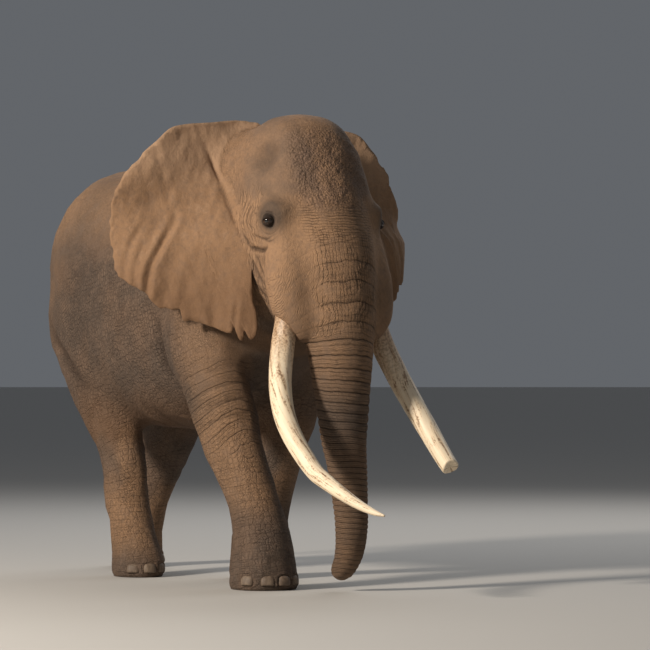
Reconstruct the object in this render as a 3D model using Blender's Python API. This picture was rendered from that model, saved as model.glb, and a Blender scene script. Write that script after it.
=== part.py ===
"""African elephant bull, life size, standing still in mid-stride.

It faces -Y, its left side is +X and the floor is z = 0. Sizes are in metres. Places on the
animal are given as (left, ahead, up) of a point on the floor under the middle of its barrel,
and the finished model is centred over the origin. The flesh is lofted from stations, fused,
smoothed and then parted with thin cuts, so that neighbouring parts share one flowing surface.
"""

import math

import bmesh
import bpy
import numpy as np
from mathutils import Matrix, Vector

GAP = 0.0004  # left open between two parts that meet
SIDES = 28  # points round each station of a loft
VOXEL = 0.022  # grid on which the lofts are fused
FLESH_TRIANGLES = 2900
HEAD_FINENESS = 0.06  # how much longer the head and trunk keep their points
LEFT_TUSK_SHARE = 0.56  # what is left of the broken tusk
LEFT_EAR_SWEEP = -math.radians(9)  # held flatter to the neck than the right one
LEFT_EAR_NARROWING = 0.18
FOOT_HEIGHT = 0.30
NAIL_HEIGHT = 0.062
NAIL_SIZE = (0.052, 0.036, 0.048)  # half width, half thickness, half height
FRONT_NAILS = (-38, -6, 26, 60)  # degrees from straight ahead, outwards
HIND_NAILS = (-30, 6, 42)

HIDE = (0.22, 0.15, 0.10)
EAR_HIDE = (0.32, 0.20, 0.12)
IVORY = (0.75, 0.66, 0.48)
EYE = (0.04, 0.02, 0.01)
NAIL = (0.35, 0.27, 0.19)
HAIR = (0.03, 0.025, 0.02)

# Stations of the torso: ahead, top line, widest level, belly line, half width.
TORSO = [
    (-1.60, 2.42, 2.22, 2.02, 0.16),
    (-1.50, 2.77, 2.28, 1.84, 0.39),
    (-1.30, 2.99, 2.35, 1.58, 0.53),
    (-1.00, 3.09, 2.30, 1.32, 0.64),
    (-0.60, 3.04, 2.15, 1.17, 0.67),
    (-0.10, 2.98, 1.98, 1.11, 0.71),
    (0.40, 3.03, 1.98, 1.13, 0.70),
    (0.80, 3.14, 2.05, 1.24, 0.64),
    (1.10, 3.12, 2.15, 1.42, 0.56),
    (1.35, 2.90, 2.25, 1.62, 0.42),
]

# Stations of the neck: ahead, middle height, half width, half height.
NECK = [(0.80, 2.42, 0.55, 0.70), (1.15, 2.50, 0.50, 0.64), (1.50, 2.60, 0.42, 0.52)]

# Level slices of the skull: up, half width, reach ahead and reach back of SKULL_MIDDLE.
SKULL_MIDDLE = 1.50
SKULL = [
    (3.365, 0.06, 0.07, 0.08),
    (3.33, 0.20, 0.22, 0.26),
    (3.25, 0.31, 0.33, 0.38),
    (3.10, 0.40, 0.43, 0.47),
    (2.90, 0.45, 0.50, 0.50),
    (2.70, 0.465, 0.55, 0.50),
    (2.55, 0.46, 0.57, 0.48),
    (2.40, 0.445, 0.58, 0.46),
    (2.20, 0.40, 0.55, 0.42),
    (2.00, 0.32, 0.46, 0.36),
    (1.85, 0.22, 0.34, 0.30),
]

# The trunk from the forehead down: ahead, up, half width, half depth.
TRUNK = [
    (1.60, 3.02, 0.28, 0.33),
    (1.71, 2.75, 0.33, 0.345),
    (1.80, 2.50, 0.335, 0.35),
    (1.90, 2.28, 0.325, 0.345),
    (1.98, 2.05, 0.285, 0.30),
    (2.04, 1.82, 0.245, 0.25),
    (2.06, 1.60, 0.222, 0.222),
    (2.08, 1.337, 0.19, 0.19),
    (2.10, 1.065, 0.16, 0.16),
    (2.13, 0.93, 0.145, 0.145),
    (2.18, 0.65, 0.124, 0.124),
    (2.20, 0.45, 0.115, 0.115),
    (2.17, 0.27, 0.10, 0.10),
    (2.09, 0.16, 0.085, 0.085),
    (2.02, 0.14, 0.07, 0.07),
]

# A tusk's middle line and radius: out from the midline, ahead, up, radius.
TUSK = [
    (0.30, 1.86, 2.20, 0.074),
    (0.36, 1.93, 1.90, 0.083),
    (0.42, 1.97, 1.70, 0.082),
    (0.508, 2.08, 1.43, 0.079),
    (0.567, 2.286, 1.146, 0.073),
    (0.562, 2.573, 0.884, 0.062),
    (0.545, 2.754, 0.78, 0.053),
    (0.51, 3.01, 0.665, 0.037),
    (0.47, 3.19, 0.60, 0.022),
    (0.44, 3.287, 0.575, 0.007),
]

# The fleshy sheath round a tusk's root: out from the midline, ahead, up, radius.
SHEATH = [
    (0.28, 1.80, 2.60, 0.15),
    (0.30, 1.86, 2.38, 0.165),
    (0.325, 1.92, 2.14, 0.168),
    (0.335, 1.96, 1.97, 0.145),
    (0.29, 2.00, 1.86, 0.12),
    (0.24, 2.03, 1.78, 0.08),
]

# The lower jaw from its root forward: ahead, up, half width, half height.
JAW = [(1.20, 2.12, 0.24, 0.20), (1.50, 1.95, 0.20, 0.17), (1.76, 1.80, 0.10, 0.09)]

# Rounded masses on each side of the head: out, ahead, up, then radii across, ahead and up.
MASSES = [
    (0.355, 1.80, 2.63, 0.125, 0.17, 0.14),  # brow and eye socket
    (0.355, 1.56, 2.56, 0.15, 0.24, 0.21),  # cheekbone
    (0.33, 1.50, 2.28, 0.13, 0.28, 0.22),  # jaw muscle
    (0.19, 1.20, 2.92, 0.28, 0.24, 0.36),  # base of the ear
]
TEMPLE, TEMPLE_REACH, TEMPLE_DEPTH = (0.40, 1.64, 3.06), 0.15, 0.045  # the hollow above the eye
EYE_PLACE, EYE_RADIUS = (0.455, 1.853, 2.585), 0.032

# Legs from the body down: out from the midline, ahead, up, half width, half length.
FRONT_RIGHT = [
    (0.26, 0.72, 2.95, 0.08, 0.16),
    (0.38, 0.80, 2.55, 0.20, 0.32),
    (0.45, 0.93, 2.05, 0.25, 0.35),
    (0.45, 1.00, 1.63, 0.25, 0.32),
    (0.42, 1.13, 1.30, 0.22, 0.28),
    (0.40, 1.29, 0.95, 0.195, 0.25),
    (0.36, 1.47, 0.63, 0.18, 0.20),
    (0.34, 1.56, 0.38, 0.195, 0.205),
    (0.34, 1.58, 0.16, 0.225, 0.235),
    (0.34, 1.58, -0.06, 0.24, 0.25),
]
FRONT_LEFT = [
    (0.26, 0.72, 2.95, 0.08, 0.16),
    (0.38, 0.80, 2.55, 0.20, 0.32),
    (0.45, 0.92, 2.05, 0.25, 0.35),
    (0.44, 0.90, 1.63, 0.25, 0.32),
    (0.40, 0.70, 1.25, 0.22, 0.28),
    (0.38, 0.56, 0.89, 0.195, 0.23),
    (0.36, 0.45, 0.53, 0.18, 0.19),
    (0.34, 0.42, 0.36, 0.195, 0.205),
    (0.34, 0.43, 0.16, 0.225, 0.235),
    (0.34, 0.43, -0.06, 0.24, 0.25),
]
HIND_RIGHT = [
    (0.30, -0.90, 2.75, 0.10, 0.18),
    (0.37, -0.93, 2.45, 0.21, 0.34),
    (0.41, -0.91, 2.15, 0.24, 0.38),
    (0.41, -0.86, 1.80, 0.24, 0.44),
    (0.40, -0.63, 1.30, 0.20, 0.31),
    (0.36, -0.45, 0.90, 0.16, 0.20),
    (0.33, -0.42, 0.56, 0.155, 0.175),
    (0.33, -0.33, 0.32, 0.16, 0.18),
    (0.33, -0.26, 0.14, 0.18, 0.21),
    (0.33, -0.25, -0.06, 0.185, 0.22),
]
HIND_LEFT = [
    (0.30, -0.90, 2.75, 0.10, 0.18),
    (0.38, -0.95, 2.45, 0.22, 0.36),
    (0.41, -0.96, 2.15, 0.24, 0.38),
    (0.41, -0.95, 1.80, 0.25, 0.44),
    (0.41, -0.95, 1.35, 0.23, 0.37),
    (0.39, -1.07, 1.00, 0.19, 0.27),
    (0.36, -1.30, 0.56, 0.155, 0.18),
    (0.34, -1.40, 0.32, 0.16, 0.18),
    (0.33, -1.44, 0.14, 0.18, 0.21),
    (0.33, -1.45, -0.06, 0.185, 0.22),
]

# The tail, swung to the left: left, ahead, up, radius.
TAIL = [
    (0, -1.48, 2.58, 0.075),
    (0.02, -1.62, 2.35, 0.06),
    (0.12, -1.67, 1.90, 0.04),
    (0.25, -1.64, 1.18, 0.024),
]

# The wiry hairs on its tip: left, ahead, up, half width, half depth.
TUFT = [
    (0.256, -1.639, 1.14, 0.026, 0.03),
    (0.28, -1.63, 0.99, 0.035, 0.08),
    (0.31, -1.62, 0.76, 0.015, 0.035),
]


def at(left, ahead, up):
    """A point from how far left, ahead and up it lies."""
    return Vector((left, -ahead, up))


def flowing(rows, steps=5):
    """Rows along a Catmull-Rom curve through the given rows, with steps between each two."""
    table = np.array(rows, float)
    table = np.vstack([2 * table[0] - table[1], table, 2 * table[-1] - table[-2]])
    found = []
    for i in range(1, len(table) - 2):
        before, start, end, after = table[i - 1 : i + 3]
        for t in np.arange(steps) / steps:
            found.append(
                start
                + 0.5 * t * (end - before)
                + t * t * (before - 2.5 * start + 2 * end - 0.5 * after)
                + t * t * t * (1.5 * start - 0.5 * before - 1.5 * end + 0.5 * after)
            )
    return found + [table[-2]]


def rounded(angle, upper, lower):
    """The point at an angle on a unit oval, each half squarer than a circle where its power
    is over 2 and more like a roof where it is under 2."""
    c, s = math.cos(angle), math.sin(angle)
    power = upper if s > 0 else lower
    return math.copysign(abs(c) ** (2 / power), c), math.copysign(abs(s) ** (2 / power), s)


def loft(bm, stations, facing=None, upper=2.0, lower=2.0, sides=SIDES):
    """A closed skin over ovals. A station is a point, half width, reach up or ahead and reach
    down or back. The ovals lie square to facing, or to the path through the points."""
    points = [station[0] for station in stations]
    rings = []
    for i, (middle, half, fore, back) in enumerate(stations):
        path = points[min(i + 1, len(points) - 1)] - points[max(i - 1, 0)]
        way = (facing or path).normalized()
        side = (Vector((1, 0, 0)) - way * way.x).normalized()
        out = way.cross(side)
        ring = []
        for k in range(sides):
            x, y = rounded(2 * math.pi * k / sides, upper, lower)
            place = middle + side * (half * x) + out * ((fore if y > 0 else back) * y)
            ring.append(bm.verts.new(place))
        rings.append(ring)
    for last, ring in zip(rings, rings[1:]):
        for k in range(sides):
            m = (k + 1) % sides
            bm.faces.new((last[k], last[m], ring[m], ring[k]))
    bm.faces.new(rings[0])
    bm.faces.new(rings[-1])


def round_stations(rows, side, steps=5):
    """Round stations for a loft on one side: side is 1 for the left and -1 for the right."""
    return [(at(side * out, along, up), r, r, r) for out, along, up, r in flowing(rows, steps)]


def ball(bm, middle, radii):
    """An ellipsoid with its radii across, ahead and up."""
    bmesh.ops.create_uvsphere(
        bm,
        u_segments=24,
        v_segments=16,
        radius=1,
        matrix=Matrix.Translation(middle) @ Matrix.Diagonal((*radii, 1)),
    )


def object_from(bm, name):
    """A named object with the bmesh's closed bodies, facing out."""
    bmesh.ops.recalc_face_normals(bm, faces=bm.faces)
    mesh = bpy.data.meshes.new(name)
    bm.to_mesh(mesh)
    bm.free()
    thing = bpy.data.objects.new(name, mesh)
    bpy.context.scene.collection.objects.link(thing)
    return thing


def settled(thing):
    """Applies the object's modifiers."""
    bpy.context.view_layer.update()
    graph = bpy.context.evaluated_depsgraph_get()
    mesh = bpy.data.meshes.new_from_object(thing.evaluated_get(graph))
    thing.modifiers.clear()
    thing.data = mesh
    return thing


def combined(thing, other, operation):
    """The object after a Boolean with another one."""
    cut = thing.modifiers.new("cut", "BOOLEAN")
    cut.operation = operation
    cut.solver = "EXACT"
    cut.object = other
    return settled(thing)


def copy_of(thing, name):
    """A copy of an object with a mesh of its own."""
    twin = bpy.data.objects.new(name, thing.data.copy())
    bpy.context.scene.collection.objects.link(twin)
    return twin


def swollen(thing, name, reach):
    """A copy whose surface lies a small reach further out."""
    twin = copy_of(thing, name)
    swell = twin.modifiers.new("swell", "DISPLACE")
    swell.strength = reach
    swell.mid_level = 0
    return settled(twin)


def remove(thing):
    bpy.data.objects.remove(thing)


def region(walls, grow=0.0):
    """A cutter: the part of space behind every wall. A wall is a point on it and the way out
    through it, both as (left, ahead, up), and grow moves it outwards."""
    bm = bmesh.new()
    bmesh.ops.create_cube(bm, size=12)
    for point, way in walls:
        out = at(*way).normalized()
        found = bmesh.ops.bisect_plane(
            bm,
            geom=bm.verts[:] + bm.edges[:] + bm.faces[:],
            plane_co=at(*point) + out * grow,
            plane_no=out,
            clear_outer=True,
        )
        rim = [g for g in found["geom_cut"] if isinstance(g, bmesh.types.BMEdge)]
        bmesh.ops.edgeloop_fill(bm, edges=rim)
    bmesh.ops.triangulate(bm, faces=bm.faces)
    return object_from(bm, "region")


# ---------------------------------------------------------------- flesh


def add_leg(bm, side, table):
    """A leg's loft, on the side that its sign gives."""
    rows = [(at(side * r[0], r[1], r[2]), r[3], r[4], r[4]) for r in flowing(table)]
    loft(bm, rows, facing=at(0, 0, -1), upper=2.2, lower=2.2)


def lofted_flesh():
    """All the lofts and masses of the body, still separate and passing through each other."""
    bm = bmesh.new()
    ahead, down = at(0, 1, 0), at(0, 0, -1)
    torso = []
    for along, top, level, low, half in flowing(TORSO):
        torso.append((at(0, along, level), half, top - level, level - low))
    loft(bm, torso, facing=ahead, upper=1.95, lower=2.4)
    neck = [(at(0, along, up), half, tall, tall) for along, up, half, tall in flowing(NECK)]
    loft(bm, neck, facing=ahead)
    skull = [(at(0, SKULL_MIDDLE, up), half, fore, back) for up, half, fore, back in flowing(SKULL)]
    loft(bm, skull, facing=down, upper=2.3, lower=2.0)
    trunk = [(at(0, along, up), half, deep, deep) for along, up, half, deep in flowing(TRUNK)]
    loft(bm, trunk, upper=2.1)
    loft(bm, [(at(0, along, up), half, tall, tall) for along, up, half, tall in flowing(JAW)])
    for side in (-1, 1):
        for out, along, up, *radii in MASSES:
            ball(bm, at(side * out, along, up), radii)
        loft(bm, round_stations(SHEATH, side))
    add_leg(bm, -1, FRONT_RIGHT)
    add_leg(bm, 1, FRONT_LEFT)
    add_leg(bm, -1, HIND_RIGHT)
    add_leg(bm, 1, HIND_LEFT)
    return object_from(bm, "flesh")


class Skin:
    """A mesh's points as an array, with what evens them out."""

    def __init__(self, mesh):
        self.mesh = mesh
        count = len(mesh.vertices)
        self.points = np.empty(count * 3)
        mesh.vertices.foreach_get("co", self.points)
        self.points = self.points.reshape(-1, 3)
        edges = np.empty(len(mesh.edges) * 2, int)
        mesh.edges.foreach_get("vertices", edges)
        edges = edges.reshape(-1, 2)
        self.ends = np.concatenate((edges[:, 0], edges[:, 1]))
        self.others = np.concatenate((edges[:, 1], edges[:, 0]))
        self.shares = np.bincount(self.ends, minlength=count)[:, None]
        self.quads = np.array([face.vertices[:] for face in mesh.polygons])

    def pull(self):
        """The way from each point to the middle of its neighbours."""
        near = self.points[self.others]
        total = [np.bincount(self.ends, near[:, k], len(self.points)) for k in range(3)]
        return np.stack(total, 1) / self.shares - self.points

    def normals(self):
        p = self.points[self.quads]
        faces = np.cross(p[:, 2] - p[:, 0], p[:, 3] - p[:, 1])
        total = np.zeros_like(self.points)
        for corner in range(4):
            for k in range(3):
                total[:, k] += np.bincount(self.quads[:, corner], faces[:, k], len(total))
        return total / np.linalg.norm(total, axis=1)[:, None]

    def fill_creases(self, passes):
        """Raises the hollows, most where lofts meet at a sharp angle."""
        for _ in range(passes):
            normals = self.normals()
            rise = np.maximum((self.pull() * normals).sum(1), 0)
            self.points += 0.8 * rise[:, None] * normals

    def smooth(self, passes):
        """Evens the surface without shrinking it."""
        for _ in range(passes):
            self.points += 0.5 * self.pull()
            self.points -= 0.52 * self.pull()

    def press(self, place, reach, depth):
        """Sinks the surface near a place, or raises it where depth is negative."""
        away = np.linalg.norm(self.points - np.array(at(*place)), axis=1)
        self.points -= self.normals() * (depth * np.exp(-((away / reach) ** 2)))[:, None]

    def keep(self):
        self.mesh.vertices.foreach_set("co", self.points.ravel())
        self.mesh.update()


def plain_places(flesh):
    """Weights that let points go sooner from the body than from the head and trunk."""
    group = flesh.vertex_groups.new(name="plain")
    for v in flesh.data.vertices:
        ahead, up = -v.co.y, v.co.z
        head = min(max((ahead - 1.15) / 0.3, 0), 1) if up > 1.7 or ahead > 1.85 else 0
        group.add([v.index], 1 - HEAD_FINENESS * head, "REPLACE")
    return group.name


def fused_flesh():
    """One closed surface round all the lofts, still reaching below the floor."""
    flesh = lofted_flesh()
    fuse = flesh.modifiers.new("fuse", "REMESH")
    fuse.mode = "VOXEL"
    fuse.voxel_size = VOXEL
    settled(flesh)
    skin = Skin(flesh.data)
    skin.smooth(4)
    skin.fill_creases(45)
    skin.smooth(14)
    for side in (-1, 1):
        skin.press((side * TEMPLE[0], *TEMPLE[1:]), TEMPLE_REACH, TEMPLE_DEPTH)
    skin.keep()
    thin = flesh.modifiers.new("thin", "DECIMATE")
    thin.ratio = FLESH_TRIANGLES / (2 * len(flesh.data.polygons))
    thin.vertex_group = plain_places(flesh)
    thin.vertex_group_factor = 1.0
    return settled(flesh)


# ---------------------------------------------------------------- ears

# An ear's edge from its front lobe up over the top and back along the hanging margin:
# distance back along the ear, and height.
EAR_EDGE = [
    (0.05, 3.22),
    (0.16, 3.335),
    (0.39, 3.315),
    (0.66, 3.275),
    (0.80, 3.16),
    (0.98, 2.98),
    (1.08, 2.77),
    (1.09, 2.61),
    (1.075, 2.41),
    (1.03, 2.215),
    (0.933, 2.14),
    (0.82, 2.065),
    (0.724, 1.99),
    (0.567, 1.935),
    (0.537, 1.86),
    (0.40, 1.86),
    (0.254, 1.81),
    (0.164, 1.76),
    (0.09, 1.755),
    (0.03, 1.785),
    (0.015, 1.84),
    (0.045, 1.985),
    (0.02, 2.35),
    (-0.02, 2.80),
]
EAR_HUB = (0.48, 2.62)  # the middle that its rings close in on
EAR_RINGS = (0.30, 0.60, 0.84, 1.0)
EAR_ROOT, EAR_MARGIN = 0.040, 0.012  # thickness


def ear_place(back, up):
    """Where a point of the flat right ear lies on the animal: (out, ahead, up)."""
    t = min(max((up - 2.4) / 0.8, 0), 1)
    t = t * t * (3 - 2 * t)
    out = (1 - t) * (0.41 + 0.72 * back) + t * (0.10 + 1.066 * back)
    ahead = (1 - t) * (1.63 - 0.69 * back) + t * (1.155 - 0.066 * back)
    return np.array((out, ahead, up))


def ear(side, sweep, narrowing):
    """An ear. Its sweep turns it about its root, away from the neck where that is positive,
    and narrowing draws its top in towards the head."""
    edge = [row for row in flowing(EAR_EDGE + EAR_EDGE[:1], 2)[:-1]]
    rim = np.array(edge)
    bm = bmesh.new()
    sheets = []
    for face in (0.5, -0.5):
        hub = bm.verts.new((*EAR_HUB, face))
        rings = [[hub]]
        for share in EAR_RINGS:
            spots = [np.array(EAR_HUB) * (1 - share) + row * share for row in edge]
            rings.append([bm.verts.new((*spot, face)) for spot in spots])
        for k in range(len(edge)):
            m = (k + 1) % len(edge)
            bm.faces.new((hub, rings[1][k], rings[1][m]))
            for inner, outer in zip(rings[1:], rings[2:]):
                bm.faces.new((inner[k], outer[k], outer[m], inner[m]))
        sheets.append(rings[-1])
    for k in range(len(edge)):
        m = (k + 1) % len(edge)
        bm.faces.new((sheets[0][k], sheets[1][k], sheets[1][m], sheets[0][m]))
    turn = Matrix.Rotation(sweep, 3, "Z")
    root = Vector((0.5, -1.35, 0))
    start, run = rim, np.roll(rim, -1, 0) - rim
    step = 0.01
    for v in bm.verts:
        back, up, face = v.co
        here = np.array((back, up))
        share = np.clip(((here - start) * run).sum(1) / (run * run).sum(1), 0, 1)
        inside = np.linalg.norm(start + run * share[:, None] - here, axis=1).min()
        thick = EAR_MARGIN + (EAR_ROOT - EAR_MARGIN) * (1 - math.exp(-inside / 0.25))
        middle = ear_place(back, up)
        along = ear_place(back + step, up) - middle
        rise = ear_place(back, up + step) - middle
        normal = np.cross(along, rise)
        normal /= np.linalg.norm(normal)
        place = middle + normal * thick * face
        place[0] -= narrowing * back * min(max((up - 2.5) / 0.4, 0), 1)
        spot = turn @ (Vector((place[0], -place[1], 0)) - root) + root
        v.co = Vector((side * spot.x, spot.y, place[2]))
    bmesh.ops.triangulate(bm, faces=bm.faces)
    return object_from(bm, "ear_left" if side > 0 else "ear_right")


# ---------------------------------------------------------------- hard parts


def tusk(side, length, point):
    """A tusk as far as a share of its whole length, pointed or broken off blunt."""
    stations = round_stations(TUSK, side, 2)
    stations = stations[: round(length * (len(stations) - 1)) + 1]
    if not point:
        middle, half = stations[-1][:2]
        way = (middle - stations[-2][0]).normalized()
        stations.append((middle + way * half * 0.35, *(half * 0.72,) * 3))
    bm = bmesh.new()
    loft(bm, stations, sides=12)
    return object_from(bm, "tusk_left" if side > 0 else "tusk_right")


def eyeball(side):
    bm = bmesh.new()
    place = Matrix.Translation(at(side * EYE_PLACE[0], *EYE_PLACE[1:]))
    bmesh.ops.create_icosphere(bm, subdivisions=2, radius=EYE_RADIUS, matrix=place)
    return object_from(bm, "eye_left" if side > 0 else "eye_right")


def tail(bm):
    """The tail's loft, from inside the rump to above the tuft."""
    loft(bm, round_stations(TAIL, 1, 3), sides=8)


def tail_tuft(bm):
    """The outline of the wiry hairs on the tail's tip, broad from the side."""
    rows = [(at(out, along, up), half, deep, deep) for out, along, up, half, deep in flowing(TUFT, 2)]
    loft(bm, rows, sides=10)


def toenail(name, side, leg, turn, foot):
    """One nail on the front of a foot, turned outwards about the foot's middle, cut to lie on
    the foot and then drawn off it by a thin gap."""
    out, ahead, _, half, deep = leg[-2]
    angle = math.radians(turn)
    way = at(side * math.sin(angle), math.cos(angle), 0)
    place = at(side * out, ahead, NAIL_HEIGHT) + Vector((way.x * half, way.y * deep, 0))
    turned = Matrix.Rotation(side * angle, 4, "Z") @ Matrix.Diagonal((*NAIL_SIZE, 1))
    bm = bmesh.new()
    bmesh.ops.create_uvsphere(
        bm, u_segments=8, v_segments=5, radius=1, matrix=Matrix.Translation(place) @ turned
    )
    nail = combined(object_from(bm, name), foot, "DIFFERENCE")
    nail.data.transform(Matrix.Translation(way * 1.5 * GAP))
    return nail


def single(name, shape, *details):
    """An object with one shape's mesh."""
    bm = bmesh.new()
    shape(bm, *details)
    return object_from(bm, name)


# ---------------------------------------------------------------- parting the flesh

TRUNK_BACK = ((0, 1.90, 0.20), (0, -1, -0.08))  # a wall behind the trunk, clear of jaw and feet
MID_BODY = 0.10  # between the front and hind legs


def flesh_regions():
    """Where each part of the flesh lies, in the order in which they are cut off."""
    regions = [
        ("trunk_lower", [TRUNK_BACK, ((0, 2.1, 0.88), (0, 0, 1))]),
        ("trunk_middle", [TRUNK_BACK, ((0, 2.1, 1.36), (0, 0, 1))]),
        ("trunk_upper", [TRUNK_BACK, ((0, 2.04, 1.80), (0, 0.2, 1))]),
        (
            "lower_jaw",
            [
                ((0, 1.50, 1.93), (0, 0, 1)),
                (TRUNK_BACK[0], (0, 1, 0.08)),
                ((0, 1.36, 1.70), (0, -1, -0.4)),
                ((0, 1.50, 1.56), (0, 0, -1)),
            ],
        ),
    ]
    for side, word in ((-1, "right"), (1, "left")):
        for end, way in (("front", 1), ("hind", -1)):
            quarter = [
                ((0, 0, 0), (-side, 0, 0)),
                ((0, MID_BODY, 0), (0, -way, 0)),
                ((0, 1.95, 0), (0, 1, 0)),
            ]
            root = ((0, MID_BODY + way * 0.45, 1.16), (0, -way * 0.62, 1))
            top = 1.62 if way > 0 else 1.90
            regions.append((f"foot_{end}_{word}", quarter + [((0, 0, FOOT_HEIGHT), (0, 0, 1))]))
            regions.append((f"leg_{end}_{word}", quarter + [root, ((0, 0, top), (0, 0, 1))]))
    regions.append(("head", [((0, 1.08, 3.20), (0, -1, -0.28))]))
    regions.append(("neck", [((0, 0.95, 3.12), (0, -1, -0.33))]))
    return regions


def parted(flesh):
    """The flesh in named parts with a thin gap between neighbours."""
    parts = []
    for name, walls in flesh_regions():
        inside = region(walls)
        outside = region(walls, GAP)
        part = combined(copy_of(flesh, name), inside, "INTERSECT")
        combined(flesh, outside, "DIFFERENCE")
        remove(inside)
        remove(outside)
        parts.append(part)
    flesh.name = "body"
    return parts + [flesh]


def finished(thing, colour, roughness):
    """Gives a node its material and smooth shading."""
    material = bpy.data.materials.new(thing.name)
    material.use_nodes = True
    shader = material.node_tree.nodes["Principled BSDF"]
    shader.inputs["Base Color"].default_value = (*colour, 1)
    shader.inputs["Roughness"].default_value = roughness
    thing.data.materials.clear()
    thing.data.materials.append(material)
    thing.data.shade_smooth()


def centre(things):
    """Moves the model so that the middle of its bounds stands over the origin."""
    corners = [thing.matrix_world @ Vector(corner) for thing in things for corner in thing.bound_box]
    low, high = (Vector(map(pick, zip(*corners))) for pick in (min, max))
    shift = -(low + high) / 2
    shift.z = -low.z
    for thing in things:
        thing.data.transform(Matrix.Translation(shift))


def build():
    for thing in list(bpy.data.objects):
        bpy.data.objects.remove(thing)
    flesh = fused_flesh()
    whole = swollen(flesh, "whole", 1.5 * GAP)
    floor = region([((0, 0, 0), (0, 0, 1))])
    combined(flesh, floor, "DIFFERENCE")
    remove(floor)
    for side, length, point in ((-1, 1.0, True), (1, LEFT_TUSK_SHARE, False)):
        ivory, eye = tusk(side, length, point), eyeball(side)
        for hard in (ivory, eye):
            socket = swollen(hard, "socket", 1.5 * GAP)
            combined(flesh, socket, "DIFFERENCE")
            remove(socket)
        finished(ivory, IVORY, 0.4)
        finished(eye, EYE, 0.1)
    parts = parted(flesh)
    for part in parts:
        finished(part, HIDE, 0.9)
    ears = [ear(-1, 0, 0), ear(1, LEFT_EAR_SWEEP, LEFT_EAR_NARROWING)]
    for shell in ears + [single("tail", tail)]:
        finished(combined(shell, whole, "DIFFERENCE"), EAR_HIDE, 0.9)
    remove(whole)
    finished(single("tail_tuft", tail_tuft), HAIR, 0.8)
    for side, word in ((-1, "right"), (1, "left")):
        for end, leg, turns in (
            ("front", FRONT_RIGHT if side < 0 else FRONT_LEFT, FRONT_NAILS),
            ("hind", HIND_RIGHT if side < 0 else HIND_LEFT, HIND_NAILS),
        ):
            foot = next(part for part in parts if part.name == f"foot_{end}_{word}")
            for number, turn in enumerate(turns, 1):
                name = f"toenail_{end}_{word}_{number}"
                finished(toenail(name, side, leg, turn, foot), NAIL, 0.6)
    bpy.context.view_layer.update()
    centre(list(bpy.data.objects))


build()
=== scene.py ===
import math
import time

import bmesh
import bpy
import numpy as np
from mathutils import Matrix, Vector, kdtree


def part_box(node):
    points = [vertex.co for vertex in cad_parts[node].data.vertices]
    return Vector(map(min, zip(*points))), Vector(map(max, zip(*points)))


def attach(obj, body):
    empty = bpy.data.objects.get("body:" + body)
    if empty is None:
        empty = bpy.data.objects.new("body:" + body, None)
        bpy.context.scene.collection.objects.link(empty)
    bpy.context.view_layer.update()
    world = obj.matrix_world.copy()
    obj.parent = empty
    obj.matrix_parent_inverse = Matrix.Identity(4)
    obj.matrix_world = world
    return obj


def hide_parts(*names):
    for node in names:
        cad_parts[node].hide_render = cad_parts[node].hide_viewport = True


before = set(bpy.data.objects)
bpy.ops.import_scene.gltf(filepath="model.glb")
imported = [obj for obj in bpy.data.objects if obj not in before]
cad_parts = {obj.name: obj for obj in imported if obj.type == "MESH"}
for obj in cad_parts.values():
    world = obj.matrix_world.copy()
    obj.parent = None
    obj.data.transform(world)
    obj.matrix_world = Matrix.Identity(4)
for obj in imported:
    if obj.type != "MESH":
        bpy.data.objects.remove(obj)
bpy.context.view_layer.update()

started = time.time()


def report(words):
    print(f"{words} ({time.time() - started:.0f} s)")


# Places on the animal are (left, ahead, up) of a point on the floor under its barrel,
# which the two eyes fix: they are level, on either side, this far ahead and up.
eyePlace = (0.455, 1.853, 2.585)
eyeLow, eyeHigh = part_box("eye_right")[0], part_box("eye_left")[1]
home = np.array([(eyeLow[0] + eyeHigh[0]) / 2, (eyeLow[1] + eyeHigh[1]) / 2 + eyePlace[1], 0])
facing = np.array([1, -1, 1])
sideNames = {-1: "right", 1: "left"}


def at(left, ahead, up):
    return Vector(home + facing * np.array((left, ahead, up)))


def above(low, high, value):
    t = np.clip((value - low) / (high - low), 0, 1)
    return t * t * (3 - 2 * t)  # works downwards too when low is above high


def below(low, high, value):
    return 1 - above(low, high, value)


def between(low, high, soft, value):
    return above(low - soft, low + soft, value) * below(high - soft, high + soft, value)


def waves(points, size, seed, count=14):
    # smooth noise of about that wavelength, mostly between -1.5 and 1.5
    random = np.random.default_rng(seed)
    ways = random.normal(size=(count, 3))
    ways *= (2 * math.pi / size * random.uniform(0.6, 1.3, count) / np.linalg.norm(ways, axis=1))[:, None]
    phases = random.uniform(0, 2 * math.pi, count)
    return np.sin(points @ ways.T + phases).sum(1) / math.sqrt(count / 2)


def flowing(rows, steps):
    # rows along a Catmull-Rom curve through the given rows
    table = np.array(rows, float)
    table = np.vstack([2 * table[0] - table[1], table, 2 * table[-1] - table[-2]])
    found = []
    for i in range(1, len(table) - 2):
        before, start, end, after = table[i - 1 : i + 3]
        for t in np.arange(steps) / steps:
            bend = before - 2.5 * start + 2 * end - 0.5 * after
            twist = 1.5 * start - 0.5 * before - 1.5 * end + 0.5 * after
            found.append(start + 0.5 * t * (end - before) + t * t * bend + t * t * t * twist)
    return np.array(found + [table[-2]])


def runLength(points):
    return np.concatenate(([0], np.cumsum(np.linalg.norm(np.diff(points, axis=0), axis=1))))


def hump(value, width):
    return np.exp(-((value / width) ** 2))


def grooves(phase, width):
    # 1 in a groove, once for each whole number of the phase
    return hump(np.sin(math.pi * phase), width)


def objectFrom(bm, name):
    mesh = bpy.data.meshes.new(name)
    bm.to_mesh(mesh)
    bm.free()
    thing = bpy.data.objects.new(name, mesh)
    bpy.context.scene.collection.objects.link(thing)
    return thing


def turnTo(way):
    return Vector((0, 0, 1)).rotation_difference(way).to_matrix()


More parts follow.
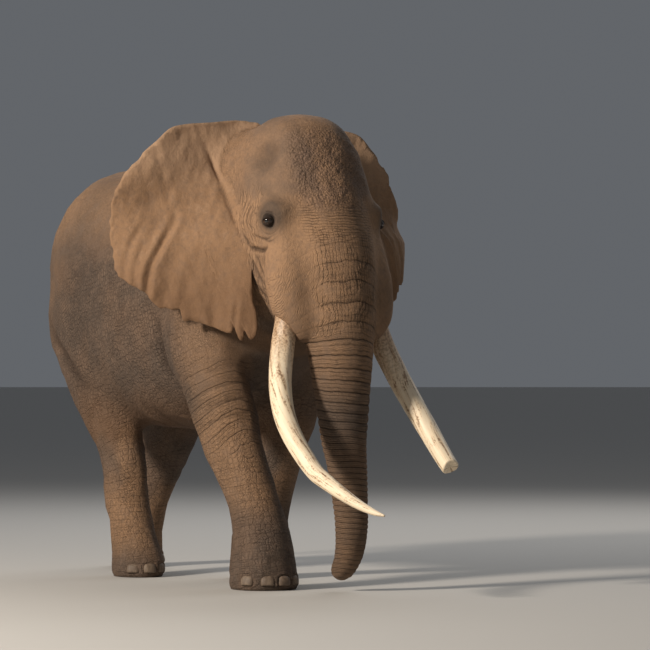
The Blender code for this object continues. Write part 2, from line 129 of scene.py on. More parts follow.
def pushedOut(bm, edges):
    # grows a strip of faces from open edges and gives its new points and edges
    made = bmesh.ops.extrude_edge_only(bm, edges=edges)["geom"]
    verts = [g for g in made if isinstance(g, bmesh.types.BMVert)]
    fresh = set(verts)
    return verts, [g for g in made if isinstance(g, bmesh.types.BMEdge) and set(g.verts) <= fresh]


def applied(thing):
    bpy.context.view_layer.update()
    graph = bpy.context.evaluated_depsgraph_get()
    mesh = bpy.data.meshes.new_from_object(thing.evaluated_get(graph))
    thing.modifiers.clear()
    thing.data = mesh
    return thing


def thinned(thing, share, group=""):
    thin = thing.modifiers.new("thin", "DECIMATE")
    thin.ratio = share
    thin.vertex_group = group  # points of less weight keep more faces
    thin.vertex_group_factor = 1.0
    return applied(thing)


def remeshed(thing, size):
    fuse = thing.modifiers.new("fuse", "REMESH")
    fuse.mode = "VOXEL"
    fuse.voxel_size = size
    return applied(thing)


class Clay:
    # a mesh's points as an array that can be pushed and smoothed

    def __init__(self, thing):
        self.mesh = thing.data
        count = len(self.mesh.vertices)
        points = np.empty(count * 3)
        self.mesh.vertices.foreach_get("co", points)
        self.points = (points.reshape(-1, 3) - home) * facing
        edges = np.empty(len(self.mesh.edges) * 2, np.int32)
        self.mesh.edges.foreach_get("vertices", edges)
        first, second = edges.reshape(-1, 2).T
        self.ends = np.concatenate((first, second))
        self.others = np.concatenate((second, first))
        self.shares = np.bincount(self.ends, minlength=count)
        self.mesh.calc_loop_triangles()
        corners = np.empty(len(self.mesh.loop_triangles) * 3, np.int32)
        self.mesh.loop_triangles.foreach_get("vertices", corners)
        self.corners = corners.reshape(-1, 3)
        self.sunk = np.zeros(count)  # how deep each point lies in a crease, weighted for the painted shade it gets

    def mean(self, values):
        # the neighbours' mean of a number at each point
        return np.bincount(self.ends, values[self.others], len(values)) / self.shares

    def spread(self, values, passes):
        for _ in range(passes):
            values = 0.5 * values + 0.5 * self.mean(values)
        return values

    def pull(self):
        return np.stack([self.mean(self.points[:, k]) for k in range(3)], 1) - self.points

    def normals(self):
        a, b, c = (self.points[self.corners[:, k]] for k in range(3))
        faces = np.cross(c - a, b - a)
        total = np.zeros_like(self.points)
        for corner in range(3):
            for k in range(3):
                total[:, k] += np.bincount(self.corners[:, corner], faces[:, k], len(total))
        return total / (np.linalg.norm(total, axis=1)[:, None] + 1e-12)

    def smooth(self, passes, where=1.0):
        for _ in range(passes):
            self.points += 0.5 * np.reshape(where, (-1, 1)) * self.pull()

    def settle(self, passes, where, back):
        # smooths, then puts back what the broad shape lost
        start = self.points.copy()
        self.smooth(passes, where)
        normals = self.normals()
        lost = ((self.points - start) * normals).sum(1)
        self.points -= self.spread(lost, back)[:, None] * normals

    def raiseBy(self, amount, dark=0.0):
        # moves the surface out by an amount at each point, and notes creases to darken with painted shade
        self.points += self.normals() * amount[:, None]
        self.sunk += dark * np.maximum(-amount, 0)

    def hollows(self):
        # how strongly the surface curves inwards at each point
        length = np.linalg.norm(self.points[self.ends] - self.points[self.others], axis=1)
        size = np.bincount(self.ends, length, len(self.points)) / self.shares
        return 2 * (self.pull() * self.normals()).sum(1) / size**2

    def keep(self):
        self.mesh.vertices.foreach_set("co", (self.points * facing + home).ravel())
        self.mesh.update()


def near(points, place, reach):
    return np.exp(-(((points - np.array(place)) ** 2).sum(1)) / reach**2)


skin = {
    "coarse": 0.02,
    "fine": 0.009,
    "swell": 0.001,
    "triangles": 159000,
    "flesh": ["body", "neck", "head", "lower_jaw", "trunk_upper", "trunk_middle", "trunk_lower"],
    "tuskRoot": 1.97,  # the flesh closes round a tusk above this height
    "sole": 0.012,  # what is lower than this is pressed flat on the floor
    "tailFrom": -1.58,  # the tail is behind this
    # how deep a crease and how sharp a hollow must be for the full painted shade
    "deepCrease": 0.006,
    "sharpHollow": 70,
    "seamPasses": 8,
}
nails = sorted(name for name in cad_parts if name.startswith("toenail"))
skin["flesh"] += [f"{part}_{end}_{side}" for part in ("leg", "foot") for end in ("front", "hind")
                  for side in ("left", "right")]


def fleshCopy(nodes):
    whole = bmesh.new()
    for name in nodes:
        part = bmesh.new()
        part.from_mesh(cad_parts[name].data)
        bmesh.ops.remove_doubles(part, verts=part.verts, dist=0.00005)
        if name.startswith("tusk"):
            level = (0, 0, skin["tuskRoot"])
            everything = part.verts[:] + part.edges[:] + part.faces[:]
            found = bmesh.ops.bisect_plane(part, geom=everything, plane_co=level, plane_no=(0, 0, -1),
                                           clear_outer=True)
            rim = [g for g in found["geom_cut"] if isinstance(g, bmesh.types.BMEdge)]
            bmesh.ops.edgeloop_fill(part, edges=rim)
        part.normal_update()
        for v in part.verts:
            v.co += v.normal * skin["swell"]
        mesh = bpy.data.meshes.new(name)
        part.to_mesh(mesh)
        part.free()
        whole.from_mesh(mesh)
        bpy.data.meshes.remove(mesh)
    return objectFrom(whole, "skin")


def addTail(thing):
    # too thin for the coarse mesh
    tail = fleshCopy(["tail"])
    both = bmesh.new()
    both.from_mesh(thing.data)
    both.from_mesh(tail.data)
    both.to_mesh(thing.data)
    both.free()
    bpy.data.objects.remove(tail)


def evened(thing):
    # rounds off the facets, most on the barrel, and leaves the broad shape
    clay = Clay(thing)
    left, ahead, up = clay.points.T
    trunk = above(1.1, 1.5, ahead) * above(1.2, 1.7, up) + above(1.85, 1.95, ahead)
    legs = below(0.9, 1.5, up) * below(1.85, 1.95, ahead)
    where = np.clip(1 - 0.84 * np.minimum(trunk, 1) - 0.72 * legs, 0.16, 1)
    clay.settle(60, where, 40)
    clay.keep()


trunkFolds = {
    "heights": (0.1, 0.5, 1.0, 1.15, 1.35, 1.55, 1.75, 1.95, 2.15, 2.40, 2.75),
    "spacing": (0.034, 0.036, 0.042, 0.054, 0.074, 0.088, 0.115, 0.14, 0.15, 0.12, 0.10),
    "depth": 0.15,  # as a share of the spacing
    "deepest": 0.0080,
}
legFolds = {
    "heights": (0.1, 0.5, 0.9, 1.4, 1.8),
    "spacing": (0.055, 0.06, 0.075, 0.085, 0.09),
}


def countedFolds(level, folds):
    # how many folds lie below a level
    marks = np.linspace(-0.3, 3.4, 1800)
    counts = np.cumsum(1 / np.interp(marks, folds["heights"], folds["spacing"])) * (marks[1] - marks[0])
    return np.interp(level, marks, counts)


def trunkPhase(points):
    # rings that get closer together towards the tip, and droop on either side of the root
    left, ahead, up = points.T
    level = up + 0.05 * (ahead - 2) + 0.07 * left + (0.3 + 1.0 * above(1.4, 2.0, up)) * left**2
    level = level + 0.005 * waves(points, 0.45, 11)
    return countedFolds(level, trunkFolds) + 0.03 * waves(points, 0.25, 12)


def legPhase(points):
    # folds that slant up to the front, most at the top
    left, ahead, up = points.T
    middle = np.where(ahead > 0.2, np.where(left > 0, -0.36, 1.16), np.where(left > 0, -1.3, -0.65))
    level = up - (0.15 + 0.4 * above(0.7, 1.3, up)) * (ahead - middle) + 0.015 * waves(points, 0.55, 31)
    return countedFolds(level, legFolds) + 0.10 * waves(points, 0.30, 38)


def onTrunk(points):
    left, ahead, up = points.T
    return above(1.78, 1.90, ahead) * below(2.25, 2.6, up)


def trunkRings(clay):
    left, ahead, up = clay.points.T
    phase = trunkPhase(clay.points)
    ridge = np.abs(np.sin(math.pi * phase)) ** 0.6 - 0.72
    spacing = np.interp(up, trunkFolds["heights"], trunkFolds["spacing"])
    depth = np.minimum(trunkFolds["depth"] * spacing, trunkFolds["deepest"])
    uneven = np.clip(0.85 + 0.3 * waves(clay.points, 0.35, 14), 0.25, 1.4)
    sides = 1 - 0.9 * above(0.17, 0.27, abs(left)) * above(1.65, 1.85, up)
    clay.raiseBy(onTrunk(clay.points) * sides * uneven * depth * ridge, 0.22)
    # lengthwise wrinkles down the front of the root
    along = between(1.84, 2.42, 0.1, up) * below(0.17, 0.26, abs(left)) * above(1.9, 2.05, ahead)
    along *= 0.45 + 0.55 * above(-0.05, 0.08, left)
    strip = left / 0.036 + 0.55 * waves(clay.points * (1, 1, 0.45), 0.16, 16)
    lines = grooves(strip, 0.42)
    clay.raiseBy(-0.0042 * along * lines * np.clip(0.65 + 0.4 * waves(clay.points, 0.2, 17), 0, 1.3), 0.6)


# Creases of the head on one side: width, depth and points (out, ahead, up). A minus depth is a ridge.
headCreases = [
    (0.016, 0.015, [(0.49, 1.57, 2.50), (0.48, 1.60, 2.42), (0.46, 1.67, 2.385), (0.44, 1.76, 2.38),
                    (0.43, 1.84, 2.40)]),  # under the cheekbone, round to the eye
    (0.010, 0.006, [(0.48, 1.66, 2.50), (0.47, 1.74, 2.465), (0.45, 1.82, 2.46), (0.43, 1.90, 2.49)]),
    (0.010, 0.0075, [(0.49, 1.45, 2.86), (0.50, 1.46, 2.74), (0.50, 1.47, 2.62), (0.49, 1.50, 2.50)]),
    (0.010, 0.0070, [(0.49, 1.49, 2.84), (0.50, 1.50, 2.72), (0.50, 1.51, 2.60), (0.49, 1.54, 2.48)]),
    (0.010, 0.0080, [(0.49, 1.55, 2.80), (0.50, 1.545, 2.70), (0.50, 1.545, 2.58), (0.49, 1.57, 2.46)]),
    (0.009, 0.0070, [(0.49, 1.61, 2.76), (0.50, 1.585, 2.68), (0.50, 1.58, 2.58), (0.49, 1.60, 2.48)]),
    (0.009, 0.0070, [(0.49, 1.65, 2.72), (0.50, 1.625, 2.66), (0.50, 1.62, 2.58), (0.49, 1.64, 2.50)]),
    (0.008, 0.0060, [(0.49, 1.69, 2.69), (0.50, 1.665, 2.64), (0.50, 1.66, 2.57), (0.49, 1.68, 2.52)]),
    (0.030, -0.006, [(0.44, 1.66, 2.74), (0.44, 1.76, 2.72), (0.42, 1.88, 2.68), (0.38, 1.97, 2.64)]),  # brow
    (0.016, 0.008, [(0.46, 1.50, 2.42), (0.43, 1.55, 2.27), (0.40, 1.60, 2.12), (0.36, 1.66, 2.0)]),
    (0.014, 0.006, [(0.46, 1.57, 2.40), (0.43, 1.62, 2.27), (0.40, 1.67, 2.14)]),
    (0.014, 0.006, [(0.45, 1.64, 2.38), (0.42, 1.68, 2.27), (0.39, 1.72, 2.17)]),
    (0.013, 0.005, [(0.44, 1.70, 2.37), (0.41, 1.73, 2.28), (0.39, 1.755, 2.20)]),
    (0.018, 0.011, [(0.41, 1.79, 2.38), (0.40, 1.78, 2.26), (0.40, 1.80, 2.13), (0.41, 1.84, 2.02)]),
]
# Masses and hollows of the head on one side: reach, rise and place.
headMasses = [
    (0.085, 0.012, (0.47, 1.63, 2.60)),  # cheekbone
    (0.10, -0.016, (0.42, 1.62, 2.22)),  # cheek
    (0.105, -0.050, (0.37, 1.65, 3.07)),  # temple
    (0.060, 0.012, (0.30, 1.80, 3.06)),
    (0.10, 0.008, (0.30, 1.86, 2.86)),
    (0.09, -0.008, (0.37, 1.98, 2.50)),
    (0.10, 0.010, (0.42, 1.86, 2.16)),  # tusk sheath
    (0.09, 0.030, (0.26, 1.93, 2.08)),
]


def lineGap(points, path, least=0.0):
    # how far each point lies from a path, and what share of the way along it
    start, run = path[:-1, None], (path[1:] - path[:-1])[:, None]
    share = np.clip(((points[None] - start) * run).sum(2) / ((run**2).sum(2) + least), 0, 1)
    gaps = np.linalg.norm(points[None] - start - run * share[:, :, None], axis=2)
    best = gaps.argmin(0)
    return gaps.min(0), (best + share[best, np.arange(len(points))]) / len(run)


def creased(clay, width, depth, line):
    # cuts a crease along a line laid on the surface, with soft lips on either side
    path = flowing(line, 8)
    low, high = path.min(0) - 6 * width - 0.04, path.max(0) + 6 * width + 0.04
    close = np.flatnonzero(((clay.points > low) & (clay.points < high)).all(1))
    points = clay.points[close]
    gaps = np.linalg.norm(points[None] - path[:, None], axis=2)
    path = points[gaps.argmin(1)]
    path[1:-1] = (path[:-2] + 2 * path[1:-1] + path[2:]) / 4
    gap, along = lineGap(points, path, 1e-12)  # two points of the path can fall on one
    taper = np.clip(4 * along * (1 - along), 0, 1) ** 0.6
    cut = hump(gap, width) - 0.35 * hump(gap - 2.0 * width, width)
    amount = np.zeros(len(clay.points))
    amount[close] = -depth * cut * taper
    return amount


def head(clay):
    creases, masses = np.zeros(len(clay.points)), np.zeros(len(clay.points))
    for side in (-1, 1):
        for width, depth, line in headCreases:
            creases += creased(clay, width, depth, [(side * out, ahead, up) for out, ahead, up in line])
        for reach, rise, (out, ahead, up) in headMasses:
            masses += rise * near(clay.points, (side * out, ahead, up), reach)
    clay.raiseBy(masses, 0.06)
    clay.raiseBy(creases, 0.9)
    # fine arches across the forehead and the top of the trunk
    left, ahead, up = clay.points.T
    arch = up + 0.8 * left**2 + 0.010 * waves(clay.points, 0.22, 21)
    lines = hump(np.sin(math.pi * arch / 0.036), 0.45)
    where = between(2.42, 2.72, 0.05, up) * below(0.20, 0.30, abs(left)) * above(1.85, 1.95, ahead)
    clay.raiseBy(-0.0030 * where * lines * np.clip(0.7 + 0.4 * waves(clay.points, 0.2, 22), 0, 1.3), 0.6)
    # knobbly forehead
    where = between(2.68, 3.22, 0.08, up) * below(0.22, 0.36, abs(left)) * above(1.7, 1.85, ahead)
    clay.raiseBy(where * (0.0008 * waves(clay.points, 0.034, 23) + 0.0015 * waves(clay.points, 0.10, 24)))


# Creases of the body and legs: width, depth, points (left, ahead, up).
bodyCreases = [
    (0.05, 0.030, [(-0.55, -1.15, 1.95), (-0.62, -0.95, 1.75), (-0.60, -0.72, 1.52), (-0.52, -0.50, 1.36)]),
    (0.05, 0.030, [(0.55, -1.25, 1.95), (0.62, -0.95, 1.75), (0.60, -0.72, 1.52), (0.52, -0.50, 1.36)]),
    (0.013, 0.014, [(-0.62, 1.19, 1.235), (-0.56, 1.28, 1.28), (-0.50, 1.344, 1.32), (-0.34, 1.43, 1.38)]),
    (0.011, 0.009, [(-0.64, 1.13, 1.33), (-0.58, 1.26, 1.40), (-0.46, 1.38, 1.46), (-0.32, 1.43, 1.50)]),
    (0.010, 0.007, [(-0.64, 1.12, 1.47), (-0.58, 1.26, 1.53), (-0.46, 1.38, 1.58), (-0.34, 1.42, 1.60)]),
    (0.012, 0.008, [(-0.62, 1.13, 1.12), (-0.56, 1.25, 1.16), (-0.48, 1.34, 1.20), (-0.34, 1.40, 1.25)]),
    (0.013, 0.012, [(0.62, -0.30, 1.26), (0.58, -0.16, 1.31), (0.48, -0.05, 1.36), (0.34, 0.02, 1.40)]),
    (0.011, 0.008, [(0.64, -0.34, 1.40), (0.58, -0.18, 1.45), (0.46, -0.05, 1.50), (0.34, 0.02, 1.54)]),
    (0.05, 0.025, [(-0.68, 0.62, 1.95), (-0.70, 0.66, 1.65), (-0.66, 0.72, 1.38)]),
    (0.05, 0.025, [(0.68, 0.60, 1.95), (0.70, 0.60, 1.65), (0.66, 0.52, 1.38)]),
]
# Bones and hollows of the body on both sides: reach, rise and place.
bodyMasses = [
    (0.20, 0.030, (0.42, -0.80, 2.92)),  # hip
    (0.24, -0.022, (0.50, -0.45, 2.66)),
    (0.22, 0.022, (0.48, 0.90, 2.66)),  # shoulder blade
    (0.20, -0.018, (0.60, 0.45, 2.40)),
    (0.16, 0.020, (0.60, 0.95, 1.72)),
    (0.30, 0.020, (0.66, -0.10, 1.80)),
    (0.16, 0.018, (0.12, 0.10, 3.00)),
]


def body(clay):
    creases, masses = np.zeros(len(clay.points)), np.zeros(len(clay.points))
    for width, depth, line in bodyCreases:
        creases += creased(clay, width, depth, line)
    for side in (-1, 1):
        for reach, rise, (out, ahead, up) in bodyMasses:
            masses += rise * near(clay.points, (side * out, ahead, up), reach)
    for name in nails:
        middle, away = nailPlace(name)
        off = clay.points - middle
        oval = np.hypot(off @ np.cross((0, 0, 1), away) / nail["half"][0], off[:, 2] / nail["half"][2])
        close = (np.linalg.norm(off, axis=1) < 0.12) * above(-0.05, -0.02, off[:, 2])
        masses += close * (0.008 * hump(oval - 1.32, 0.22) - 0.004 * hump(oval - 1.0, 0.13))
    clay.raiseBy(masses)
    clay.raiseBy(creases, 0.25)
    left, ahead, up = clay.points.T
    trunk = above(1.80, 1.90, ahead)
    # slanting folds on the forearms and rings round the lower legs
    lines = grooves(legPhase(clay.points), 0.4)
    where = between(0.16, 1.55, 0.12, up) * (1 - trunk)
    where = where * np.clip(0.6 + 0.6 * waves(clay.points, 0.45, 32), 0, 1.2)
    clay.raiseBy(-0.0026 * where * lines * (1 - 0.85 * (up > 1.2) * (ahead < 0.5)), 0.25)
    # broad looseness of the hide
    loose = 0.0035 * waves(clay.points * (1, 1, 0.7), 0.34, 33) + 0.0018 * waves(clay.points, 0.14, 34)
    clay.raiseBy(loose * (1 - trunk) * above(0.15, 0.4, up) * (1 - 0.8 * above(1.3, 1.5, ahead)))
    # sagging folds across the belly and chest
    belly = below(1.25, 1.75, up) * between(-0.6, 1.3, 0.15, ahead) * above(1.0, 1.1, up)
    slant = ahead - 0.5 * (up - 1.3)
    lines = grooves(slant / 0.08 + 0.6 * waves(clay.points, 0.4, 35), 0.5)
    clay.raiseBy(-0.004 * belly * lines, 0.4)


eye = {
    "radius": 0.041,
    "middle": (0.453, 1.838, 2.586),
    "way": (0.80, 0.55, -0.08),  # where the right eye looks: out, ahead, up
    "opening": (0.037, 0.020),  # half width and half height between the lids
    "reach": 0.17,  # how far round it the skin is fine
    "lid": 0.007,
    "droop": (5, 0.14),  # how the opening bends down to its corners: square, slope
    # folds above and below: how far from the middle, rise, half width
    "above": [(0.044, 0.0060, 0.007), (0.059, -0.0070, 0.005), (0.078, 0.0045, 0.008)],
    "below": [(0.033, 0.0035, 0.006), (0.050, -0.0045, 0.005), (0.078, 0.0035, 0.007),
              (0.096, -0.0045, 0.005), (0.116, 0.005, 0.010), (0.144, -0.006, 0.008)],
}


def eyeFrame(side):
    middle = np.array(eye["middle"]) * (side, 1, 1)
    way = np.array((side * eye["way"][0], eye["way"][1], eye["way"][2]))
    way /= np.linalg.norm(way)
    across = np.cross((0, 0, 1), way) * side  # towards the front
    across /= np.linalg.norm(across)
    rise = np.cross(way, across) * side
    return middle, way, across, abs(rise[2]) / rise[2] * rise


def lids(clay):
    for side in (-1, 1):
        middle, way, across, rise = eyeFrame(side)
        off = clay.points - middle
        depth, x, y = off @ way, off @ across, off @ rise
        away = np.hypot(x, y)
        close = (away < 0.19) & (depth > -0.09) & (depth < 0.12)
        halfX, halfY = eye["opening"]
        bend, slope = eye["droop"]
        lift = y + bend * x * x - slope * x
        oval = np.hypot(x / halfX, lift / np.where(lift > 0, halfY, 0.8 * halfY))
        # the surface the lids should have: the ball plus their thickness, easing into the face
        ball = np.sqrt(np.maximum(eye["radius"] ** 2 - np.minimum(away, eye["radius"]) ** 2, 0))
        lid = ball + eye["lid"] - 0.12 * np.maximum(away - 0.034, 0)
        aim = depth + (lid - depth) * below(0.036, 0.074, away)
        fold = 0.0035 * hump(oval - 1.28, 0.13)
        for places, off in (("above", y + bend * x * x), ("below", 6 * x * x - y)):
            for place, height, width in eye[places]:
                fold += height * np.exp(-(((off - place) / width) ** 2) - (x / 0.058) ** 2)
        aim += fold * below(0.14, 0.18, away)
        gap = below(0.88, 1.04, oval)  # the opening between the lids
        aim = aim * (1 - gap) + np.minimum(aim, ball - 0.014) * gap
        clay.points += ((aim - depth) * close)[:, None] * way
        # painted shade in the opening between the lids and in the folds round it
        clay.sunk += (0.006 * gap + 0.8 * np.maximum(-fold, 0)) * close


def refined(thing, chosen, cuts):
    # finer faces where the first end of an edge is chosen
    clay = Clay(thing)
    picked = np.flatnonzero(chosen(clay.points[clay.ends[: len(thing.data.edges)]]))
    bm = bmesh.new()
    bm.from_mesh(thing.data)
    bm.edges.ensure_lookup_table()
    edges = [bm.edges[i] for i in picked]
    bmesh.ops.subdivide_edges(bm, edges=edges, cuts=cuts, use_grid_fill=True, smooth=0)
    bmesh.ops.triangulate(bm, faces=[f for f in bm.faces if len(f.verts) > 4])
    bm.to_mesh(thing.data)
    bm.free()


def byEyes(points):
    gaps = [np.linalg.norm(points - eyeFrame(side)[0], axis=1) for side in (-1, 1)]
    return np.minimum(*gaps) < eye["reach"]


def byTrunk(points):
    left, ahead, up = points.T
    return (ahead > 1.80) & (up < 2.70) & (abs(left) < 0.42)


ear = {
    "segments": 420,
    "rings": 40,
    "triangles": 19000,
    "hub": (0.48, 2.62),
    "root": 0.038,
    "margin": 0.011,
    # the edge of the right ear from the top of its root over the top, down its hanging
    # margin to the lobes and up the front: distance back, height
    "edge": [
        (-0.04, 3.17), (-0.05, 3.27), (0.02, 3.325), (0.16, 3.34), (0.39, 3.315), (0.66, 3.275),
        (0.80, 3.16), (0.98, 2.98), (1.08, 2.77), (1.09, 2.61), (1.075, 2.41), (1.03, 2.215),
        (0.933, 2.16), (0.82, 2.085), (0.724, 1.99),
        (0.665, 1.985), (0.60, 1.955), (0.567, 1.965), (0.537, 1.885), (0.46, 1.885), (0.37, 1.857),
        (0.30, 1.835), (0.226, 1.806), (0.188, 1.81), (0.174, 1.845), (0.150, 1.79), (0.128, 1.752),
        (0.106, 1.768), (0.098, 1.82), (0.070, 1.77), (0.048, 1.757), (0.018, 1.79), (0.009, 1.86),
        (0.02, 1.96), (0.045, 2.067), (0.03, 2.35), (-0.02, 2.80),
    ],
    # folds of the hanging part: width, height of the fold, points (back, up)
    "folds": [
        (0.028, 0.022, [(0.803, 2.08), (0.791, 2.23), (0.755, 2.335), (0.695, 2.451), (0.623, 2.60),
                        (0.58, 2.72)]),
        (0.024, 0.008, [(0.975, 2.19), (0.971, 2.311), (0.935, 2.428), (0.863, 2.55), (0.80, 2.66)]),
        (0.018, 0.004, [(0.893, 2.12), (0.897, 2.265), (0.861, 2.381), (0.80, 2.50)]),
        (0.040, 0.007, [(0.683, 2.00), (0.659, 2.172), (0.611, 2.311), (0.526, 2.45), (0.47, 2.56)]),
        (0.045, 0.005, [(0.49, 1.90), (0.514, 2.043), (0.49, 2.195), (0.40, 2.38)]),
        (0.020, 0.013, [(0.172, 1.84), (0.159, 1.95), (0.125, 2.12)]),
        (0.018, 0.009, [(0.097, 1.81), (0.090, 1.90), (0.075, 2.02)]),
        (0.035, 0.007, [(0.32, 1.86), (0.33, 1.98), (0.29, 2.14)]),
    ],
    # skin that runs from the head onto the ear: heights, how far back it reaches and how thick it is
    "web": {
        "up": (2.2, 2.445, 2.70, 2.93, 3.08, 3.2, 3.3),
        "brink": (0.02, 0.097, 0.227, 0.325, 0.40, 0.46, 0.5),
        "push": (0.0, 0.05, 0.17, 0.24, 0.23, 0.15, 0.04),
    },
    # where the ear leaves the head
    "border": [(0.50, 1.19, 2.93), (0.50, 1.38, 2.70), (0.49, 1.44, 2.58), (0.48, 1.50, 2.445),
               (0.42, 1.54, 2.22)],
    "sweep": {-1: 0.0, 1: -math.radians(9)},
    "narrowing": {-1: 0.0, 1: 0.18},
}


def earPlace(flat, side):
    # where points of the flat ear lie on the animal
    back, up = flat.T
    t = above(2.4, 3.2, up)
    out = (1 - t) * (0.41 + 0.72 * back) + t * (0.10 + 1.066 * back)
    ahead = (1 - t) * (1.63 - 0.69 * back) + t * (1.155 - 0.066 * back)
    out = out - ear["narrowing"][side] * back * np.clip((up - 2.5) / 0.4, 0, 1)
    sweep = ear["sweep"][side]
    out, ahead = out - 0.5, ahead - 1.35
    turnedOut = out * math.cos(sweep) + ahead * math.sin(sweep) + 0.5
    turnedAhead = ahead * math.cos(sweep) - out * math.sin(sweep) + 1.35
    return np.stack((side * turnedOut, turnedAhead, up), 1)


def earRim(side):
    # the edge in equal steps, worn ragged
    rim = flowing(ear["edge"] + ear["edge"][:1], 12)
    steps = runLength(rim)
    marks = np.linspace(0, steps[-1], ear["segments"], endpoint=False)
    rim = np.stack([np.interp(marks, steps, rim[:, k]) for k in range(2)], 1)
    line = np.stack((marks, np.zeros_like(marks), np.zeros_like(marks)), 1)
    worn = 0.004 * waves(line, 0.14, 41 + side) + 0.0012 * waves(line, 0.05, 43 + side)
    nicks = 0.028 if side > 0 else 0.010
    worn += nicks * np.maximum(waves(line, 0.16, 45 + side) - 0.9, 0) ** 0.7
    hanging = above(0.15, 0.5, rim[:, 0]) * below(2.9, 3.2, rim[:, 1]) + 0.15
    away = rim - np.array(ear["hub"])
    reach = np.linalg.norm(away, axis=1) - worn * hanging
    turn = np.unwrap(np.arctan2(away[:, 1], away[:, 0]))
    turn = -np.maximum.accumulate(-turn) if turn[-1] < turn[0] else np.maximum.accumulate(turn)
    return np.array(ear["hub"]) + reach[:, None] * np.stack((np.cos(turn), np.sin(turn)), 1)


def earShell(side):
    bm = bmesh.new()
    bmesh.ops.create_circle(bm, cap_ends=False, segments=ear["segments"], radius=1)
    edges = bm.edges[:]
    for ring in range(ear["rings"] - 1, 0, -1):
        verts, edges = pushedOut(bm, edges)
        bmesh.ops.scale(bm, verts=verts, vec=Vector((1, 1, 1)) * (ring / (ring + 1)))
    bmesh.ops.pointmerge(bm, verts=pushedOut(bm, edges)[0], merge_co=(0, 0, 0))
    bm.verts.index_update()
    disc = np.array([v.co[:2] for v in bm.verts])
    share = np.linalg.norm(disc, axis=1)
    turn = np.mod(np.arctan2(disc[:, 1], disc[:, 0]) / (2 * math.pi), 1) * ear["segments"]
    rim, hub = earRim(side), np.array(ear["hub"])
    marks = np.arange(ear["segments"] + 1)
    edge = np.stack([np.interp(turn, marks, np.append(rim[:, k], rim[0, k])) for k in range(2)], 1)
    flat = hub + share[:, None] * (edge - hub)
    step = 0.004
    middle = earPlace(flat, side)
    normal = np.cross(earPlace(flat + (step, 0), side) - middle, earPlace(flat + (0, step), side) - middle)
    normal *= 1 / np.linalg.norm(normal, axis=1)[:, None]
    spots = np.column_stack((flat, np.zeros(len(flat))))
    swing = 0.018 * waves(spots, 0.80, 51 + side) + 0.0045 * waves(spots, 0.30, 53 + side)
    swing += 0.0016 * waves(spots * (1, 0.5, 1), 0.07, 55)
    for width, height, line in ear["folds"]:
        gap, along = lineGap(flat, flowing(line, 6))
        fade = below(0.55, 1.0, along)
        swing += 0.75 * height * fade * (0.8 * hump(gap - 1.6 * width, width) - hump(gap, width))
    back, up = flat.T
    brink = np.interp(up, ear["web"]["up"], ear["web"]["brink"])
    web = np.interp(up, ear["web"]["up"], ear["web"]["push"]) * np.clip(1 - back / brink, 0, 1.2) ** 1.15
    swing -= 0.014 * hump(back - brink, 0.018) * between(2.2, 3.05, 0.06, up)
    hold = above(0.02, 0.22, back)
    inside = np.linalg.norm(edge - flat, axis=1)
    thick = ear["margin"] + (ear["root"] - ear["margin"]) * (1 - np.exp(-inside / 0.25))
    # the front face, then a copy of it behind, joined round the rim
    front = middle + normal * (swing * hold + thick / 2 + web)[:, None]
    behind = middle + normal * (swing * hold - thick / 2)[:, None]
    rimEdges = [e for e in bm.edges if len(e.link_faces) == 1]
    copy = bmesh.ops.duplicate(bm, geom=bm.verts[:] + bm.edges[:] + bm.faces[:])
    for v, place in zip(list(bm.verts)[: len(front)], front):
        v.co = place * facing + home
    partner = copy["vert_map"]
    for v, place in zip(list(bm.verts)[: len(behind)], behind):
        partner[v].co = place * facing + home
    bmesh.ops.reverse_faces(bm, faces=[g for g in copy["geom"] if isinstance(g, bmesh.types.BMFace)])
    backRim = [copy["edge_map"][e] for e in rimEdges]
    bmesh.ops.bridge_loops(bm, edges=rimEdges + backRim)
    bmesh.ops.recalc_face_normals(bm, faces=bm.faces)
    bmesh.ops.triangulate(bm, faces=bm.faces)
    shell = objectFrom(bm, "ear")
    return thinned(shell, ear["triangles"] / len(shell.data.polygons))


def madeSkin():
    thing = fleshCopy(skin["flesh"] + ["eye_left", "eye_right", "tusk_left", "tusk_right"])
    evened(remeshed(thing, skin["coarse"]))
    addTail(thing)
    report("flesh evened")
    remeshed(thing, skin["fine"])
    refined(thing, byEyes, 2)
    refined(thing, byTrunk, 1)
    clay = Clay(thing)
    clay.smooth(9)
    report(f"flesh fine, {len(clay.points)} points")
    body(clay)
    head(clay)
    trunkRings(clay)
    lids(clay)
    left, ahead, up = clay.points.T
    clay.points[:, 2] = np.where(up < skin["sole"], np.maximum(up * 0.3, 0), up)
    clay.keep()
    report("folds made")
    # how sharply the surface curves inwards, kept for painted shade in hollows
    hollow = clay.spread(clay.hollows(), 3)
    store = kdtree.KDTree(len(clay.points))
    for i, point in enumerate(clay.points * facing + home):
        store.insert(point, i)
    store.balance()
    faceWeight = above(1.2, 1.5, ahead) * above(1.6, 1.8, up) + above(1.80, 1.9, ahead)
    eyes = sum(near(clay.points, (side * eyePlace[0], *eyePlace[1:]), 0.09) for side in (-1, 1))
    loose = np.clip(1 - 0.78 * np.minimum(faceWeight, 1) - 0.21 * np.minimum(3 * eyes, 1), 0.01, 1)
    loose[(clay.points[:, 2] < 0.2) | (clay.points[:, 1] < skin["tailFrom"])] = 0.6
    group = thing.vertex_groups.new(name="loose")
    for step in range(101):
        chosen = np.flatnonzero(np.round(loose * 100).astype(int) == step)
        if len(chosen):
            group.add(chosen.tolist(), step / 100, "REPLACE")
    thinned(thing, skin["triangles"] / len(clay.corners), group.name)
    thing.vertex_groups.clear()
    report(f"thinned to {sum(len(f.vertices) - 2 for f in thing.data.polygons)} triangles")
    return thing, store, clay.sunk, hollow


